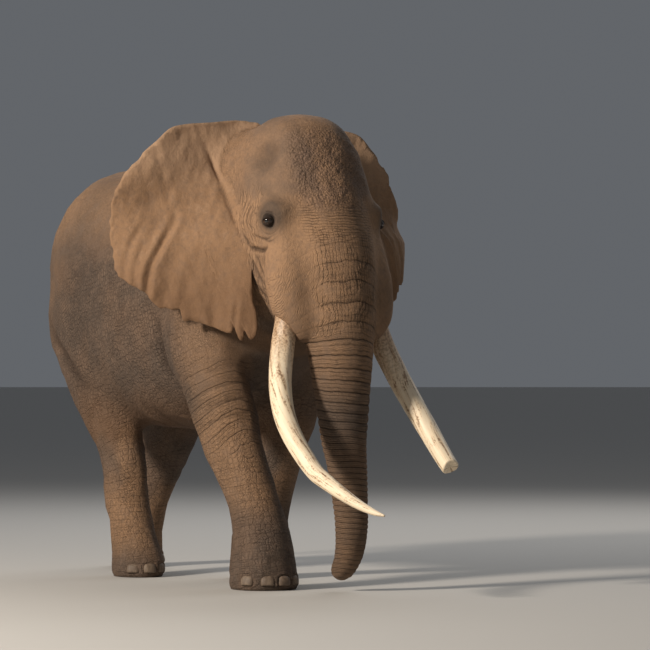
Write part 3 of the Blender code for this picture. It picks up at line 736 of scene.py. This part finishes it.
def withEars(thing):
    shells = [earShell(side) for side in (-1, 1)]
    sources = [thing] + shells
    old = kdtree.KDTree(sum(len(source.data.vertices) for source in sources))
    for source in sources:
        for v in source.data.vertices:
            old.insert(v.co, 0)
    for shell in shells:
        join = thing.modifiers.new("join", "BOOLEAN")
        join.operation = "UNION"
        join.solver = "MANIFOLD"
        join.object = shell
        applied(thing)
        bpy.data.objects.remove(shell)
    old.balance()
    report("ears joined")
    clay = Clay(thing)
    fresh = np.array([old.find(v.co)[2] > 0.00002 for v in thing.data.vertices])
    seam = np.minimum(clay.spread(fresh.astype(float), skin["seamPasses"]) * 3.0, 1)
    clay.smooth(skin["seamPasses"], seam)
    clay.keep()
    return clay


def markSkin(thing, clay, store, sunk, hollow):
    # what the material needs to know at each point
    left, ahead, up = clay.points.T
    side = abs(left)
    found = [store.find(v.co) for v in thing.data.vertices]
    index = np.array([spot[1] for spot in found])
    away = np.array([spot[2] for spot in found])
    onEar = above(0.012, 0.030, away)
    skinOnly = 1 - onEar
    marks = {"onEar": onEar}
    # painted shade in creases, from the crease depths noted while shaping
    marks["sunk"] = np.clip(sunk[index] / skin["deepCrease"], 0, 1) * skinOnly
    uneven = np.clip(0.4 + 0.9 * waves(clay.points, 0.12, 61), 0, 1.2)
    # painted shade: a dark line along the ear's join with the head, and shade in the temple hollow
    for k in (-1, 1):
        line = [(k * out, *rest) for out, *rest in ear["border"]]
        marks["sunk"] = np.maximum(marks["sunk"], -0.9 * np.minimum(creased(clay, 0.011, 1, line), 0))
        temple = near(clay.points, (k * 0.36, 1.66, 3.09), 0.11)
        marks["sunk"] = marks["sunk"] + 0.3 * uneven * temple * skinOnly
    # painted shade in hollows of the surface
    marks["hollow"] = np.clip(hollow[index] / skin["sharpHollow"], -1, 1) * skinOnly
    face = above(1.25, 1.55, ahead) * above(1.7, 1.95, up)
    trunk = onTrunk(clay.points)
    leg = below(1.15, 1.6, up) * below(1.8, 1.9, ahead)
    marks["phase"] = np.where(trunk > 0.02, trunkPhase(clay.points), legPhase(clay.points))
    browLow = between(2.40, 2.70, 0.06, up) * below(0.20, 0.34, side) * above(1.8, 1.95, ahead)
    root = above(1.65, 1.85, up)
    forearm = between(1.0, 1.62, 0.08, up) * below(1.6, 1.7, ahead)
    forearm *= np.where(left < 0, above(0.85, 1.1, ahead), between(-0.6, 0.3, 0.1, ahead))
    rings = trunk * (1 - 0.9 * above(0.16, 0.27, side) * root)
    marks["ringed"] = np.clip(rings + 0.25 * leg + 0.4 * forearm, 0, 1)
    marks["fan"] = trunk * between(0.10, 0.60, 0.06, side) * root * below(2.1, 2.4, up)
    marks["arched"] = browLow
    marks["upright"] = between(1.80, 2.50, 0.1, up) * below(0.20, 0.30, side) * above(1.9, 2.05, ahead)
    cheek = face * below(2.35, 2.5, up) * below(1.72, 1.86, ahead)
    thigh = between(1.2, 2.0, 0.2, up) * between(-1.7, -0.75, 0.15, ahead)
    neck = between(1.0, 1.5, 0.1, ahead) * (up > 1.8)
    marks["hanging"] = np.clip(cheek + thigh * 0.8 + neck * 0.5, 0, 1) * skinOnly
    flank = between(-0.85, 1.15, 0.25, ahead) * above(1.05, 1.3, up) * below(2.2, 2.7, up)
    marks["slanted"] = between(-1.5, -0.35, 0.2, ahead) * between(1.6, 2.5, 0.25, up) * skinOnly
    marks["crossed"] = np.maximum(flank, 0.6 * leg) * skinOnly * (1 - trunk)
    brow = between(2.66, 3.24, 0.08, up) * below(0.20, 0.36, side) * above(1.68, 1.9, ahead)
    rump = above(2.2, 2.7, up) * below(-0.4, 0.2, ahead)
    dome = above(2.75, 2.95, up) * above(1.1, 1.4, ahead)
    marks["knobbly"] = np.clip(brow + 0.35 * rump + 0.3 * dome, 0, 1) * skinOnly
    marks["purplish"] = brow * skinOnly
    wide = sum(near(clay.points, (k * 0.47, 1.86, 2.62), 0.115) for k in (-1, 1))
    tight = [np.linalg.norm(clay.points - eyeFrame(k)[0] - (k * 0.02, 0.014, 0), axis=1) for k in (-1, 1)]
    marks["eyeShade"] = np.clip(1.9 * wide, 0, 1) * skinOnly
    marks["eyeRim"] = below(0.046, 0.066, np.minimum(*tight))
    besideEye = between(1.44, 1.76, 0.05, ahead) * between(2.40, 2.86, 0.08, up)
    marks["besideEye"] = besideEye * above(0.38, 0.42, side) * skinOnly
    marks["smooth"] = face * above(0.16, 0.3, side) * skinOnly
    # painted shade: the lower part of the ear darker and warmer
    marks["ruddy"] = onEar * below(1.95, 2.55, up)
    # painted light: the top of the ear made lighter
    marks["pale"] = onEar * above(2.75, 3.1, up)
    # painted shade, warm brown, under the belly
    shadedUnderside = 0.85 * below(1.15, 1.5, up) * between(-0.8, 0.9, 0.2, ahead)
    marks["ruddy"] += shadedUnderside * (side < 0.62) * (up > 1.0) * skinOnly
    dust = 0.16 + 0.5 * above(2.2, 2.9, up) + 0.6 * face + 0.9 * onEar
    dust -= 0.80 * above(2.62, 2.85, up) * face * between(0.12, 0.62, 0.07, side)
    dust -= (0.22 + 0.25 * below(1.2, 1.7, up)) * flank
    dust -= 0.40 * between(0.65, 1.2, 0.12, up) * (ahead < -0.3)
    clean = np.where(ahead > 0.2, 0.42, 0.03)  # how far up the leg mud has taken the dust
    dust += 0.60 * leg * above(0, 0.3, up - clean) + 0.12 * trunk * between(1.2, 1.9, 0.2, up)
    dust += 0.35 * above(0.72, 0.95, ahead) * between(1.35, 2.3, 0.2, up) * (1 - face) * skinOnly
    dust += 0.22 * below(-1.25, -0.75, ahead)
    # painted shade: less dust, so a darker colour, on the legs' insides and on surfaces that face down, such
    # as the belly
    normals = clay.normals()
    shadedInner = leg * above(0.1, 0.7, -normals[:, 0] * np.sign(left)) + above(0.3, 0.9, -normals[:, 2])
    dust -= 0.7 * np.clip(shadedInner, 0, 1) * (1 - trunk) * (up < 2)
    dust += 0.30 * trunk * below(0.8, 1.3, up)
    marks["dusty"] = np.clip(dust, 0, 1)
    for name, values in marks.items():
        layer = thing.data.attributes.new(name, "FLOAT", "POINT")
        layer.data.foreach_set("value", values.astype(np.float32))


class Wire:
    # a socket that Python's operators work on

    def __init__(self, paint, socket):
        self.paint, self.socket = paint, socket

    def maths(self, operation, *others, reverse=False):
        order = list(others) + [self] if reverse else [self] + list(others)
        return self.paint.node("ShaderNodeMath", {"operation": operation}, dict(enumerate(order)))

    def __add__(self, other):
        return self.maths("ADD", other)

    __radd__ = __add__

    def __mul__(self, other):
        return self.maths("MULTIPLY", other)

    __rmul__ = __mul__

    def __sub__(self, other):
        return self.maths("SUBTRACT", other)

    def __rsub__(self, other):
        return self.maths("SUBTRACT", other, reverse=True)

    def clamped(self, low=0.0, high=1.0):
        return self.paint.node("ShaderNodeClamp", {}, {"Value": self, "Min": low, "Max": high})

    def ramp(self, low, high):
        # 0 up to the low value, 1 from the high one
        inputs = {"Value": self, "From Min": low, "From Max": high}
        return self.paint.node("ShaderNodeMapRange", {"interpolation_type": "SMOOTHSTEP"}, inputs)


class Paint:
    # a material and the one way in which its nodes are made

    def __init__(self, name, roughness=0.8):
        self.material = bpy.data.materials.new(name)
        self.material.use_nodes = True
        self.tree = self.material.node_tree
        self.shader = self.tree.nodes["Principled BSDF"]
        self.shader.inputs["Roughness"].default_value = roughness

    def feed(self, socket, value):
        if isinstance(value, Wire):
            self.tree.links.new(value.socket, socket)
        elif isinstance(value, (tuple, list)) and len(value) == 3 and socket.type == "RGBA":
            socket.default_value = (*value, 1)
        else:
            socket.default_value = value

    def node(self, kind, settings, inputs, out=0):
        made = self.tree.nodes.new(kind)
        for name, value in settings.items():
            setattr(made, name, value)
        for name, value in inputs.items():
            self.feed(made.inputs[name], value)
        return Wire(self, made.outputs[out])

    def place(self):
        return self.node("ShaderNodeTexCoord", {}, {}, "Object")

    def stretched(self, where, scale, turn=(0, 0, 0)):
        turned = self.node("ShaderNodeMapping", {}, {"Vector": where, "Rotation": turn})
        return self.node("ShaderNodeVectorMath", {"operation": "MULTIPLY"}, {0: turned, 1: scale})

    def noise(self, where, scale, detail=4, rough=0.55, out="Fac"):
        inputs = {"Vector": where, "Scale": scale, "Detail": detail, "Roughness": rough}
        return self.node("ShaderNodeTexNoise", {}, inputs, out)

    def lines(self, phase, width):
        # 0 on whole numbers and 1 between them
        return phase.maths("PINGPONG", 0.5).ramp(0.0, width)

    def cells(self, where, scale, feature="DISTANCE_TO_EDGE", random=1.0):
        inputs = {"Vector": where, "Scale": scale, "Randomness": random}
        return self.node("ShaderNodeTexVoronoi", {"feature": feature}, inputs)

    def mark(self, name):
        return self.node("ShaderNodeAttribute", {"attribute_name": name}, {}, "Fac")

    def mix(self, factor, first, second):
        return self.node("ShaderNodeMix", {"data_type": "RGBA"}, {0: factor, 6: first, 7: second}, 2)

    def shifted(self, where, by, amount):
        offset = self.node("ShaderNodeVectorMath", {"operation": "SCALE"}, {0: by, "Scale": amount})
        return self.node("ShaderNodeVectorMath", {"operation": "ADD"}, {0: where, 1: offset})

    def finish(self, colour, height=None, distance=0.01, strength=1.0, rough=None):
        self.feed(self.shader.inputs["Base Color"], colour)
        if rough is not None:
            self.feed(self.shader.inputs["Roughness"], rough)
        if height is not None:
            inputs = {"Height": height, "Distance": distance, "Strength": strength}
            self.feed(self.shader.inputs["Normal"], self.node("ShaderNodeBump", {}, inputs))
        return self.material


hide = {
    "dust": (0.325, 0.194, 0.110),
    "earDust": (0.275, 0.163, 0.092),
    # light dust, and painted light on the top of the ear
    "paleDustAndLight": (0.45, 0.295, 0.19),
    "grey": (0.120, 0.088, 0.068),
    "warmGrey": (0.160, 0.106, 0.074),
    # warm painted shade on the lower ear and under the belly
    "ruddy": (0.150, 0.083, 0.045),
    "purple": (0.195, 0.128, 0.10),
    # painted shade in cracks, pits, creases and hollows
    "dark": (0.040, 0.026, 0.019),
    "eyeGrey": (0.066, 0.050, 0.040),
    "eyeRim": (0.020, 0.014, 0.011),
    "bump": 0.010,
}


def hideMaterial():
    paint = Paint("dusty hide", 0.82)
    paint.shader.inputs["Specular IOR Level"].default_value = 0.2
    drift = paint.noise(paint.place(), 6.0, 2, 0.5, "Color")
    here = paint.shifted(paint.place(), drift, 0.035)
    ringed, hanging, crossed = paint.mark("ringed"), paint.mark("hanging"), paint.mark("crossed")
    knobbly, onEar, phase = paint.mark("knobbly"), paint.mark("onEar"), paint.mark("phase")
    upright, smooth = paint.mark("upright"), paint.mark("smooth")
    broad = paint.noise(here, 1.7, 4, 0.6)
    blotch = paint.noise(here, 9.0, 4, 0.65)
    wobble = paint.noise(here, 16.0, 2, 0.5) - 0.5
    speck = paint.noise(here, 70.0, 3, 0.6)
    across, back, rise = (paint.node("ShaderNodeSeparateXYZ", {}, {"Vector": here}, way) for way in "XYZ")
    # cracks: 0 in a crack and 1 between them
    jitter = paint.noise(here, 55.0, 1, 0.5, "Color")
    fine = paint.cells(paint.shifted(here, jitter, 0.012), 78.0).ramp(0.0, 0.13)
    falls = paint.cells(paint.stretched(here, (42, 42, 5)), 1.0).ramp(0.0, 0.16)
    weave = paint.cells(paint.stretched(here, (20, 34, 24), (0.30, 0, 0)), 1.0, random=0.55).ramp(0.0, 0.15)
    slant = paint.lines((rise + back * 0.8) * 34 + wobble * 1.2, 0.18)
    uprights = paint.lines((back - rise * 0.15) * 38 + wobble * 3.2, 0.17)
    levels = paint.lines((rise + back * 0.12) * 34 + wobble * 3.0, 0.17)
    knobs = paint.cells(here, 60.0, "F1", 0.9)
    rings = paint.lines(phase + wobble * 0.10, 0.11)
    ringsMid = paint.lines(phase * 3 + wobble * 0.8, 0.17)
    ringsFine = paint.lines(phase * 8 + wobble * 2.6, 0.22)
    arches = paint.lines(rise * 52 + wobble * 1.2, 0.16)
    strips = paint.lines(across * 42 + wobble * 1.6, 0.16)
    fan = paint.lines((rise + across.maths("ABSOLUTE") * 2.4) * 36 + wobble * 3.6, 0.20)
    broken = blotch.ramp(0.36, 0.62)
    calm = (1 - onEar * 0.7) * (1 - smooth * 0.8)
    cracks = (1 - fine) * (0.10 + broken * 0.22) * calm
    circled = ((1 - rings) * 0.6 + (1 - ringsMid) * (0.3 + broken * 0.45) + (1 - ringsFine) * 0.28) * ringed
    cracks = cracks + circled * (1 - upright * 0.45)
    cracks = cracks + (1 - uprights) * (0.15 + broken * 0.3) * paint.mark("besideEye")
    cracks = cracks + (1 - fan) * (0.06 + broken * 0.42) * paint.mark("fan") + (1 - falls) * 0.38 * hanging
    woven = (1 - weave) * 0.5 + (1 - uprights) * (0.38 - broken * 0.25) + (1 - levels) * (0.1 + broken * 0.4)
    cracks = cracks + woven * crossed + (1 - slant) * 0.45 * paint.mark("slanted") * (1 - broken * 0.5)
    cracks = cracks + ((1 - arches) * paint.mark("arched") + (1 - strips) * upright) * (0.2 + broken * 0.5)
    height = 0 - cracks
    height = height - knobs * 0.75 * knobbly + paint.noise(here, 190.0, 2, 0.6) * 0.12
    height = height + paint.noise(here, 30.0, 4, 0.6) * (0.25 + knobbly * 0.4 + onEar * 0.35)
    height = height + paint.noise(paint.stretched(here, (60, 60, 34)), 1.0, 4, 0.7) * 0.6 * smooth
    # colour
    # dust, with less of it where shade is painted on the legs' insides and on surfaces facing down
    dusty = (paint.mark("dusty") + (broad - 0.5) * 0.7 + (blotch - 0.5) * 0.45).ramp(0.1, 0.95)
    grey = paint.mix(broad.ramp(0.4, 0.62), hide["grey"], hide["warmGrey"])
    dust = paint.mix(onEar, hide["dust"], hide["earDust"])
    dust = paint.mix(blotch.ramp(0.52, 0.80) * 0.35, dust, hide["paleDustAndLight"])
    colour = paint.mix(dusty, grey, dust)
    grain = paint.noise(here, 26.0, 5, 0.7)
    patch = paint.mark("purplish") * (1 - paint.noise(here, 14.0, 3, 0.6).ramp(0.42, 0.60) * 0.6)
    pits = (knobs.ramp(0.35, 0.75) * knobbly * speck.ramp(0.40, 0.55)) * 0.5
    layers = [  # each layer's tone and how much of it shows, from the lowest up
        ("warmGrey", (1 - grain.ramp(0.36, 0.56)) * 0.35),
        ("warmGrey", (1 - blotch.ramp(0.32, 0.50)) * 0.35),
        ("purple", patch * 0.375),
        # painted shade in the cracks and in the pits of the knobbly skin
        ("dark", (cracks * 0.62 + pits).clamped(0, 0.72)),
        # painted shade in creases and hollows
        ("dark", (paint.mark("sunk") * 0.6 + paint.mark("hollow").clamped() * 0.25).clamped(0, 0.8)),
        # painted light on the top of the ear
        ("paleDustAndLight", paint.mark("pale") * (0.3 + blotch * 0.6)),
        # painted shade, warm brown, on the lower ear and under the belly
        ("ruddy", paint.mark("ruddy") * (0.45 + blotch * 0.5)),
        ("eyeGrey", paint.mark("eyeShade") * (0.6 + blotch * 0.5)),
        ("eyeRim", paint.mark("eyeRim") * 0.85),
        ("paleDustAndLight", (speck - 0.5).ramp(0.04, 0.24) * 0.15 * calm),
    ]
    for tone, share in layers:
        colour = paint.mix(share, colour, hide[tone])
    return paint.finish(colour, height, hide["bump"], 1.0, rough=0.92 - speck * 0.15)


def ivoryMaterial(root, dirty):
    # root: how far along the tusk leaves the flesh, dirty: where its stained part ends
    paint = Paint("ivory", 0.4)
    along = paint.mark("along")
    here = paint.place()
    around = {0: paint.mark("ringX"), 1: paint.mark("ringY"), 2: along * 1.3}
    ring = paint.node("ShaderNodeCombineXYZ", {}, around)
    streaks = paint.noise(ring, 3.2, 5, 0.65)
    blotch = paint.noise(here, 7.0, 4, 0.65)
    fine = paint.noise(here, 60.0, 4, 0.6)
    colour = paint.mix(streaks.ramp(0.42, 0.70), (0.86, 0.73, 0.54), (0.68, 0.50, 0.31))
    stains = (blotch.ramp(0.44, 0.60) * fine.ramp(0.46, 0.60) * streaks.ramp(0.45, 0.56)) * 0.8
    colour = paint.mix(stains, colour, (0.27, 0.13, 0.055))
    worn = streaks.ramp(0.57, 0.63) * fine.ramp(0.38, 0.50)
    colour = paint.mix(worn * 0.7, colour, (0.16, 0.08, 0.04))
    base = 1 - (along + (blotch - 0.5) * 0.3).ramp(root, dirty)
    colour = paint.mix(base * 0.75, colour, (0.36, 0.20, 0.10))
    colour = paint.mix(base * fine.ramp(0.45, 0.58) * 0.6, colour, (0.12, 0.07, 0.045))
    height = streaks * 0.5 + fine * 0.3 - stains * 0.3 - worn * 0.4
    return paint.finish(colour, height, 0.003, 1.0, rough=0.36 + blotch * 0.25)


def eyeMaterial():
    paint = Paint("eye", 0.08)
    paint.shader.inputs["Coat Weight"].default_value = 0.6
    facingOut = paint.mark("ring")
    rays = paint.noise(paint.place(), 240.0, 3, 0.7)
    iris = paint.mix(rays.ramp(0.4, 0.6), (0.016, 0.008, 0.004), (0.042, 0.020, 0.009))
    colour = paint.mix(facingOut.ramp(0.30, 0.36), (0.002, 0.002, 0.002), iris)
    colour = paint.mix(facingOut.ramp(0.62, 0.74), colour, (0.022, 0.015, 0.012))
    return paint.finish(colour)


def nailMaterial():
    paint = Paint("toenail", 0.65)
    here = paint.place()
    lines = paint.noise(paint.stretched(here, (50, 50, 8)), 1.0, 4, 0.6)
    colour = paint.mix(lines.ramp(0.4, 0.65), (0.125, 0.087, 0.060), (0.20, 0.145, 0.10))
    colour = paint.mix(paint.noise(here, 24.0).ramp(0.42, 0.62) * 0.7, colour, (0.10, 0.068, 0.047))
    return paint.finish(colour, lines, 0.003, 0.8)


def hairMaterial():
    paint = Paint("tail hair", 0.55)
    tone = paint.noise(paint.place(), 30.0, 2)
    return paint.finish(paint.mix(tone.ramp(0.4, 0.7), (0.012, 0.009, 0.007), (0.045, 0.030, 0.022)))


tusk = {
    "path": [  # out, ahead, up, radius
        (0.30, 1.86, 2.20, 0.074), (0.36, 1.93, 1.90, 0.083), (0.42, 1.97, 1.70, 0.082),
        (0.508, 2.08, 1.43, 0.079), (0.567, 2.286, 1.146, 0.073), (0.562, 2.573, 0.884, 0.062),
        (0.545, 2.754, 0.78, 0.053), (0.51, 3.01, 0.665, 0.037), (0.47, 3.19, 0.60, 0.022),
        (0.44, 3.287, 0.575, 0.007),
    ],
    "leftShare": 0.56,
    "steps": 14,
    "sides": 48,
}


def madeTusk(side):
    rows = flowing(tusk["path"], tusk["steps"])
    if side > 0:
        rows = rows[: round(tusk["leftShare"] * (len(rows) - 1)) + 1]
    points = rows[:, :3] * (side, 1, 1)
    ways = np.gradient(points, axis=0)
    ways /= np.linalg.norm(ways, axis=1)[:, None]
    widths = rows[:, 3]
    if side > 0:  # a worn, broken end
        for forward, share in ((0.005, 0.97), (0.010, 0.88), (0.011, 0.74), (0.004, 0.50), (0.002, 0.2)):
            points = np.vstack((points, points[len(rows) - 1] + ways[len(rows) - 1] * forward))
            ways = np.vstack((ways, ways[-1]))
            widths = np.append(widths, rows[-1, 3] * share)
    steps = runLength(points)
    bm = bmesh.new()
    layers = [bm.verts.layers.float.new(name) for name in ("along", "ringX", "ringY")]
    bmesh.ops.create_circle(bm, cap_ends=True, segments=tusk["sides"], radius=1)
    edges = bm.edges[:]
    verts = bm.verts[:]
    for i, point in enumerate(points):
        if i:
            verts, edges = pushedOut(bm, edges)
            fresh = set(verts)
            for v in verts:  # back onto the circle the ring before it was made from
                before = [e.other_vert(v) for e in v.link_edges if e.other_vert(v) not in fresh][0]
                v[layers[1]], v[layers[2]] = before[layers[1]], before[layers[2]]
        turn = turnTo(Vector(ways[i] * facing))
        for v in verts:
            if not i:
                v[layers[1]], v[layers[2]] = v.co.x, v.co.y
            x, y = v[layers[1]], v[layers[2]]
            angle = math.atan2(y, x)
            wobble = 1 + 0.018 * math.sin(3 * angle + 5 * steps[i])
            wobble = wobble + 0.010 * math.sin(7 * angle - 9 * steps[i])
            uneven = 0.006 * math.sin(2 * angle + 1) if side > 0 and i >= len(rows) - 1 else 0
            v.co = at(*point) + turn @ Vector((x * widths[i] * wobble, y * widths[i] * wobble, uneven))
            v[layers[0]] = steps[i]
    bmesh.ops.holes_fill(bm, edges=edges)
    bmesh.ops.recalc_face_normals(bm, faces=bm.faces)
    piece = objectFrom(bm, f"ivory_{sideNames[side]}")
    finishPiece(piece, ivoryMaterial(0.30, 1.0 if side > 0 else 0.85), "ivory", f"tusk_{sideNames[side]}")


def finishPiece(piece, material, slot, *nodes):
    piece.data.materials.clear()
    piece.data.materials.append(material)
    piece.data.shade_smooth()
    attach(piece, "root")
    if nodes:
        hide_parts(*nodes)


def madeEye(side):
    middle, way, across, rise = eyeFrame(side)
    bm = bmesh.new()
    bmesh.ops.create_uvsphere(bm, u_segments=48, v_segments=32, radius=1)
    layer = bm.verts.layers.float.new("ring")
    for v in bm.verts:
        angle = v.co.angle(Vector((0, 0, 1)), 0)
        v[layer] = angle
        v.co *= eye["radius"] + 0.0022 * math.exp(-((angle / 0.42) ** 2))
    turn = turnTo(Vector(way * facing)).to_4x4()
    bmesh.ops.transform(bm, verts=bm.verts, matrix=Matrix.Translation(at(*middle)) @ turn)
    finishPiece(objectFrom(bm, f"eyeball_{sideNames[side]}"), eyeMaterial(), "eye", f"eye_{sideNames[side]}")


nail = {"half": (0.050, 0.024, 0.044), "flat": -0.62, "lean": 0.2, "inwards": 0.007}


def nailPlace(name):
    # the middle of a toenail and which way it faces, on the animal
    end, side = name.split("_")[1:3]
    boxes = [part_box(name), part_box(f"foot_{end}_{side}")]
    middle, foot = [(facing * ((np.array(low) + np.array(high)) / 2 - home)) for low, high in boxes]
    away = (middle - foot) * (1, 1, 0)
    away /= np.linalg.norm(away)
    return middle - nail["inwards"] * away, away


def madeNail(name, material):
    middle, away = nailPlace(name)
    bm = bmesh.new()
    bmesh.ops.create_uvsphere(bm, u_segments=28, v_segments=18, radius=1)
    for v in bm.verts:
        x, y, z = (math.copysign(abs(c) ** power, c) for c, power in zip(v.co, (0.75, 1, 0.8)))
        v.co = Vector(c * half for c, half in zip((x, y, max(z, nail["flat"])), nail["half"]))
    way = Vector(away * facing)
    lean = Matrix.Rotation(-nail["lean"], 4, "X")
    turn = Matrix.Rotation(math.atan2(way.x, -way.y), 4, "Z")
    bmesh.ops.transform(bm, verts=bm.verts, matrix=Matrix.Translation(at(*middle)) @ turn @ lean)
    finishPiece(objectFrom(bm, name.replace("toenail", "nail")), material, "nail", name)


hair = {
    "tail": [(0, -1.48, 2.58), (0.02, -1.62, 2.35), (0.12, -1.67, 1.90), (0.25, -1.64, 1.18)],
    "strands": 330,
    "steps": 7,
    "patch": 0.003,  # size of one hair on the bake map
}


def hairPiece(name, hairs, nodes):
    # every hair is root, way, length, width, droop and its place on the bake map
    base = bmesh.new()
    bmesh.ops.create_circle(base, cap_ends=False, segments=3, radius=1)
    edges = base.edges[:]
    for _ in range(hair["steps"]):
        verts, edges = pushedOut(base, edges)
        bmesh.ops.translate(base, verts=verts, vec=(0, 0, 1 / hair["steps"]))
    bmesh.ops.holes_fill(base, edges=base.edges)
    bmesh.ops.recalc_face_normals(base, faces=base.faces)
    strand = bpy.data.meshes.new("strand")
    base.to_mesh(strand)
    base.free()
    bm = bmesh.new()
    layer = bm.loops.layers.uv.new("OFBake")
    for root, way, length, width, droop, spot in hairs:
        bm.from_mesh(strand)
        bm.verts.ensure_lookup_table()
        bm.faces.ensure_lookup_table()
        for face in bm.faces[-len(strand.polygons):]:
            for loop in face.loops:
                x, y, z = loop.vert.co
                loop[layer].uv = (spot[0] + hair["patch"] * x / 2, spot[1] + hair["patch"] * z)
        way = Vector(way * facing).normalized()
        turn = turnTo(way)
        for v in bm.verts[-len(strand.vertices):]:
            t = v.co.z
            cross = turn @ Vector((v.co.x, v.co.y, 0)) * width * (1 - 0.9 * t)
            v.co = at(*root) + way * length * t + Vector((0, 0, -droop * length * t * t)) + cross
    bpy.data.meshes.remove(strand)
    finishPiece(objectFrom(bm, name), hairMaterial(), "hair", *nodes)


def tailHair():
    random = np.random.default_rng(5)
    path = flowing(hair["tail"], 20)
    hairs = []
    for _ in range(hair["strands"]):
        share = random.uniform() ** 1.7
        low = share < 0.25
        spot = path[-1 - int(share * 14)]
        angle = random.uniform(-math.pi, math.pi) if low else random.choice((-1, 1)) * math.pi / 2
        angle += random.normal(0, 0.35)
        out = np.array((math.cos(angle), math.sin(angle), 0))
        spread = random.uniform(0.02, 0.22) if low else random.uniform(0.10, 0.34)
        way = np.array((0.06, 0, -1)) + out * spread
        length = random.uniform(0.22, 0.42) if low else random.uniform(0.16, 0.34)
        patch = (0.5 + 0.4 * angle / (math.pi + 1.2), 0.2 + 0.5 * share)
        hairs.append((spot + out * 0.014, way, length, random.uniform(0.0011, 0.0019), 0.05, patch))
    hairPiece("tail_hair", hairs, ["tail_tuft"])


def lashes():
    random = np.random.default_rng(7)
    hairs = []
    for side in (-1, 1):
        middle, way, across, rise = eyeFrame(side)
        halfX, halfY = eye["opening"]
        bend, slope = eye["droop"]
        for share in np.linspace(-0.85, 0.85, 24):
            x = share * halfX
            y = halfY * math.sqrt(1 - share**2) - bend * x * x + slope * x + 0.003
            ball = math.sqrt(max(eye["radius"] ** 2 - x * x - y * y, 0))
            root = middle + way * (ball + 0.006) + across * x + rise * y
            lean = way * 0.8 - rise * random.uniform(0.5, 0.9)
            lean = lean + across * (0.6 * share + random.normal(0, 0.12))
            spot = (0.5 + side * (0.1 + 0.002 * x / halfX), 0.85)
            hairs.append((root, lean, random.uniform(0.022, 0.038), 0.0006, 0.25, spot))
    hairPiece("lashes", hairs, [])


view = {"distance": 25.0, "height": 1.46, "azimuth": -30.0, "turn": 2.27, "tilt": 0.98, "lens": 184.15}


def wayTo(azimuth, elevation):
    turn, rise = math.radians(azimuth), math.radians(elevation)
    return Vector((math.sin(turn) * math.cos(rise), -math.cos(turn) * math.cos(rise), math.sin(rise)))


def makeCamera():
    place = Vector(home) + wayTo(view["azimuth"], 0) * view["distance"] + Vector((0, 0, view["height"]))
    aim = -wayTo(view["azimuth"] - view["turn"], -view["tilt"])
    lens = bpy.data.cameras.new("camera")
    lens.lens = view["lens"]
    lens.sensor_width = 36
    lens.clip_end = 2000
    camera = bpy.data.objects.new("camera", lens)
    camera.location = place
    camera.rotation_euler = aim.to_track_quat("-Z", "Y").to_euler()
    bpy.context.scene.collection.objects.link(camera)
    bpy.context.scene.camera = camera


lights = {  # azimuth and elevation in degrees, distance, size, power, colour
    "key": (-78, 23, 15, 1.8, 2750, (1.0, 0.90, 0.78)),
    "fill": (116, 35, 16, 9.0, 560, (1.0, 0.97, 0.93)),
    "back": (150, 45, 16, 9.0, 480, (0.95, 0.97, 1.0)),
}


def makeLights():
    for name, (azimuth, elevation, distance, size, power, colour) in lights.items():
        lamp = bpy.data.lights.new(name, "AREA")
        lamp.size, lamp.energy, lamp.color = size, power, colour
        light = bpy.data.objects.new(name, lamp)
        way = wayTo(azimuth, elevation)
        light.location = at(0, 0.4, 1.6) + way * distance
        light.rotation_euler = (-way).to_track_quat("-Z", "Y").to_euler()
        bpy.context.scene.collection.objects.link(light)
    world = bpy.data.worlds.new("studio")
    world.use_nodes = True
    sky = world.node_tree.nodes["Background"].inputs
    sky["Color"].default_value = (0.62, 0.66, 0.72, 1)
    sky["Strength"].default_value = 0.20
    bpy.context.scene.world = world
    bpy.context.scene.view_settings.view_transform = "Standard"


floorRadius = 900


def makeFloor():
    bm = bmesh.new()
    bmesh.ops.create_circle(bm, cap_ends=True, segments=96, radius=floorRadius)
    floor = objectFrom(bm, "floor")
    paint = Paint("floor", 0.9)
    floor.data.materials.append(paint.finish((0.50, 0.485, 0.46)))


makeCamera()
makeLights()
makeFloor()
hideSkin, store, sunk, hollow = madeSkin()
clay = withEars(hideSkin)
markSkin(hideSkin, clay, store, sunk, hollow)
finishPiece(hideSkin, hideMaterial(), "hide", "ear_left", "ear_right", "tail", *skin["flesh"])
report("skin marked")
for side in (-1, 1):
    madeTusk(side)
    madeEye(side)
horn = nailMaterial()
for name in nails:
    madeNail(name, horn)
tailHair()
lashes()
report("tusks, eyes, nails and hair made")
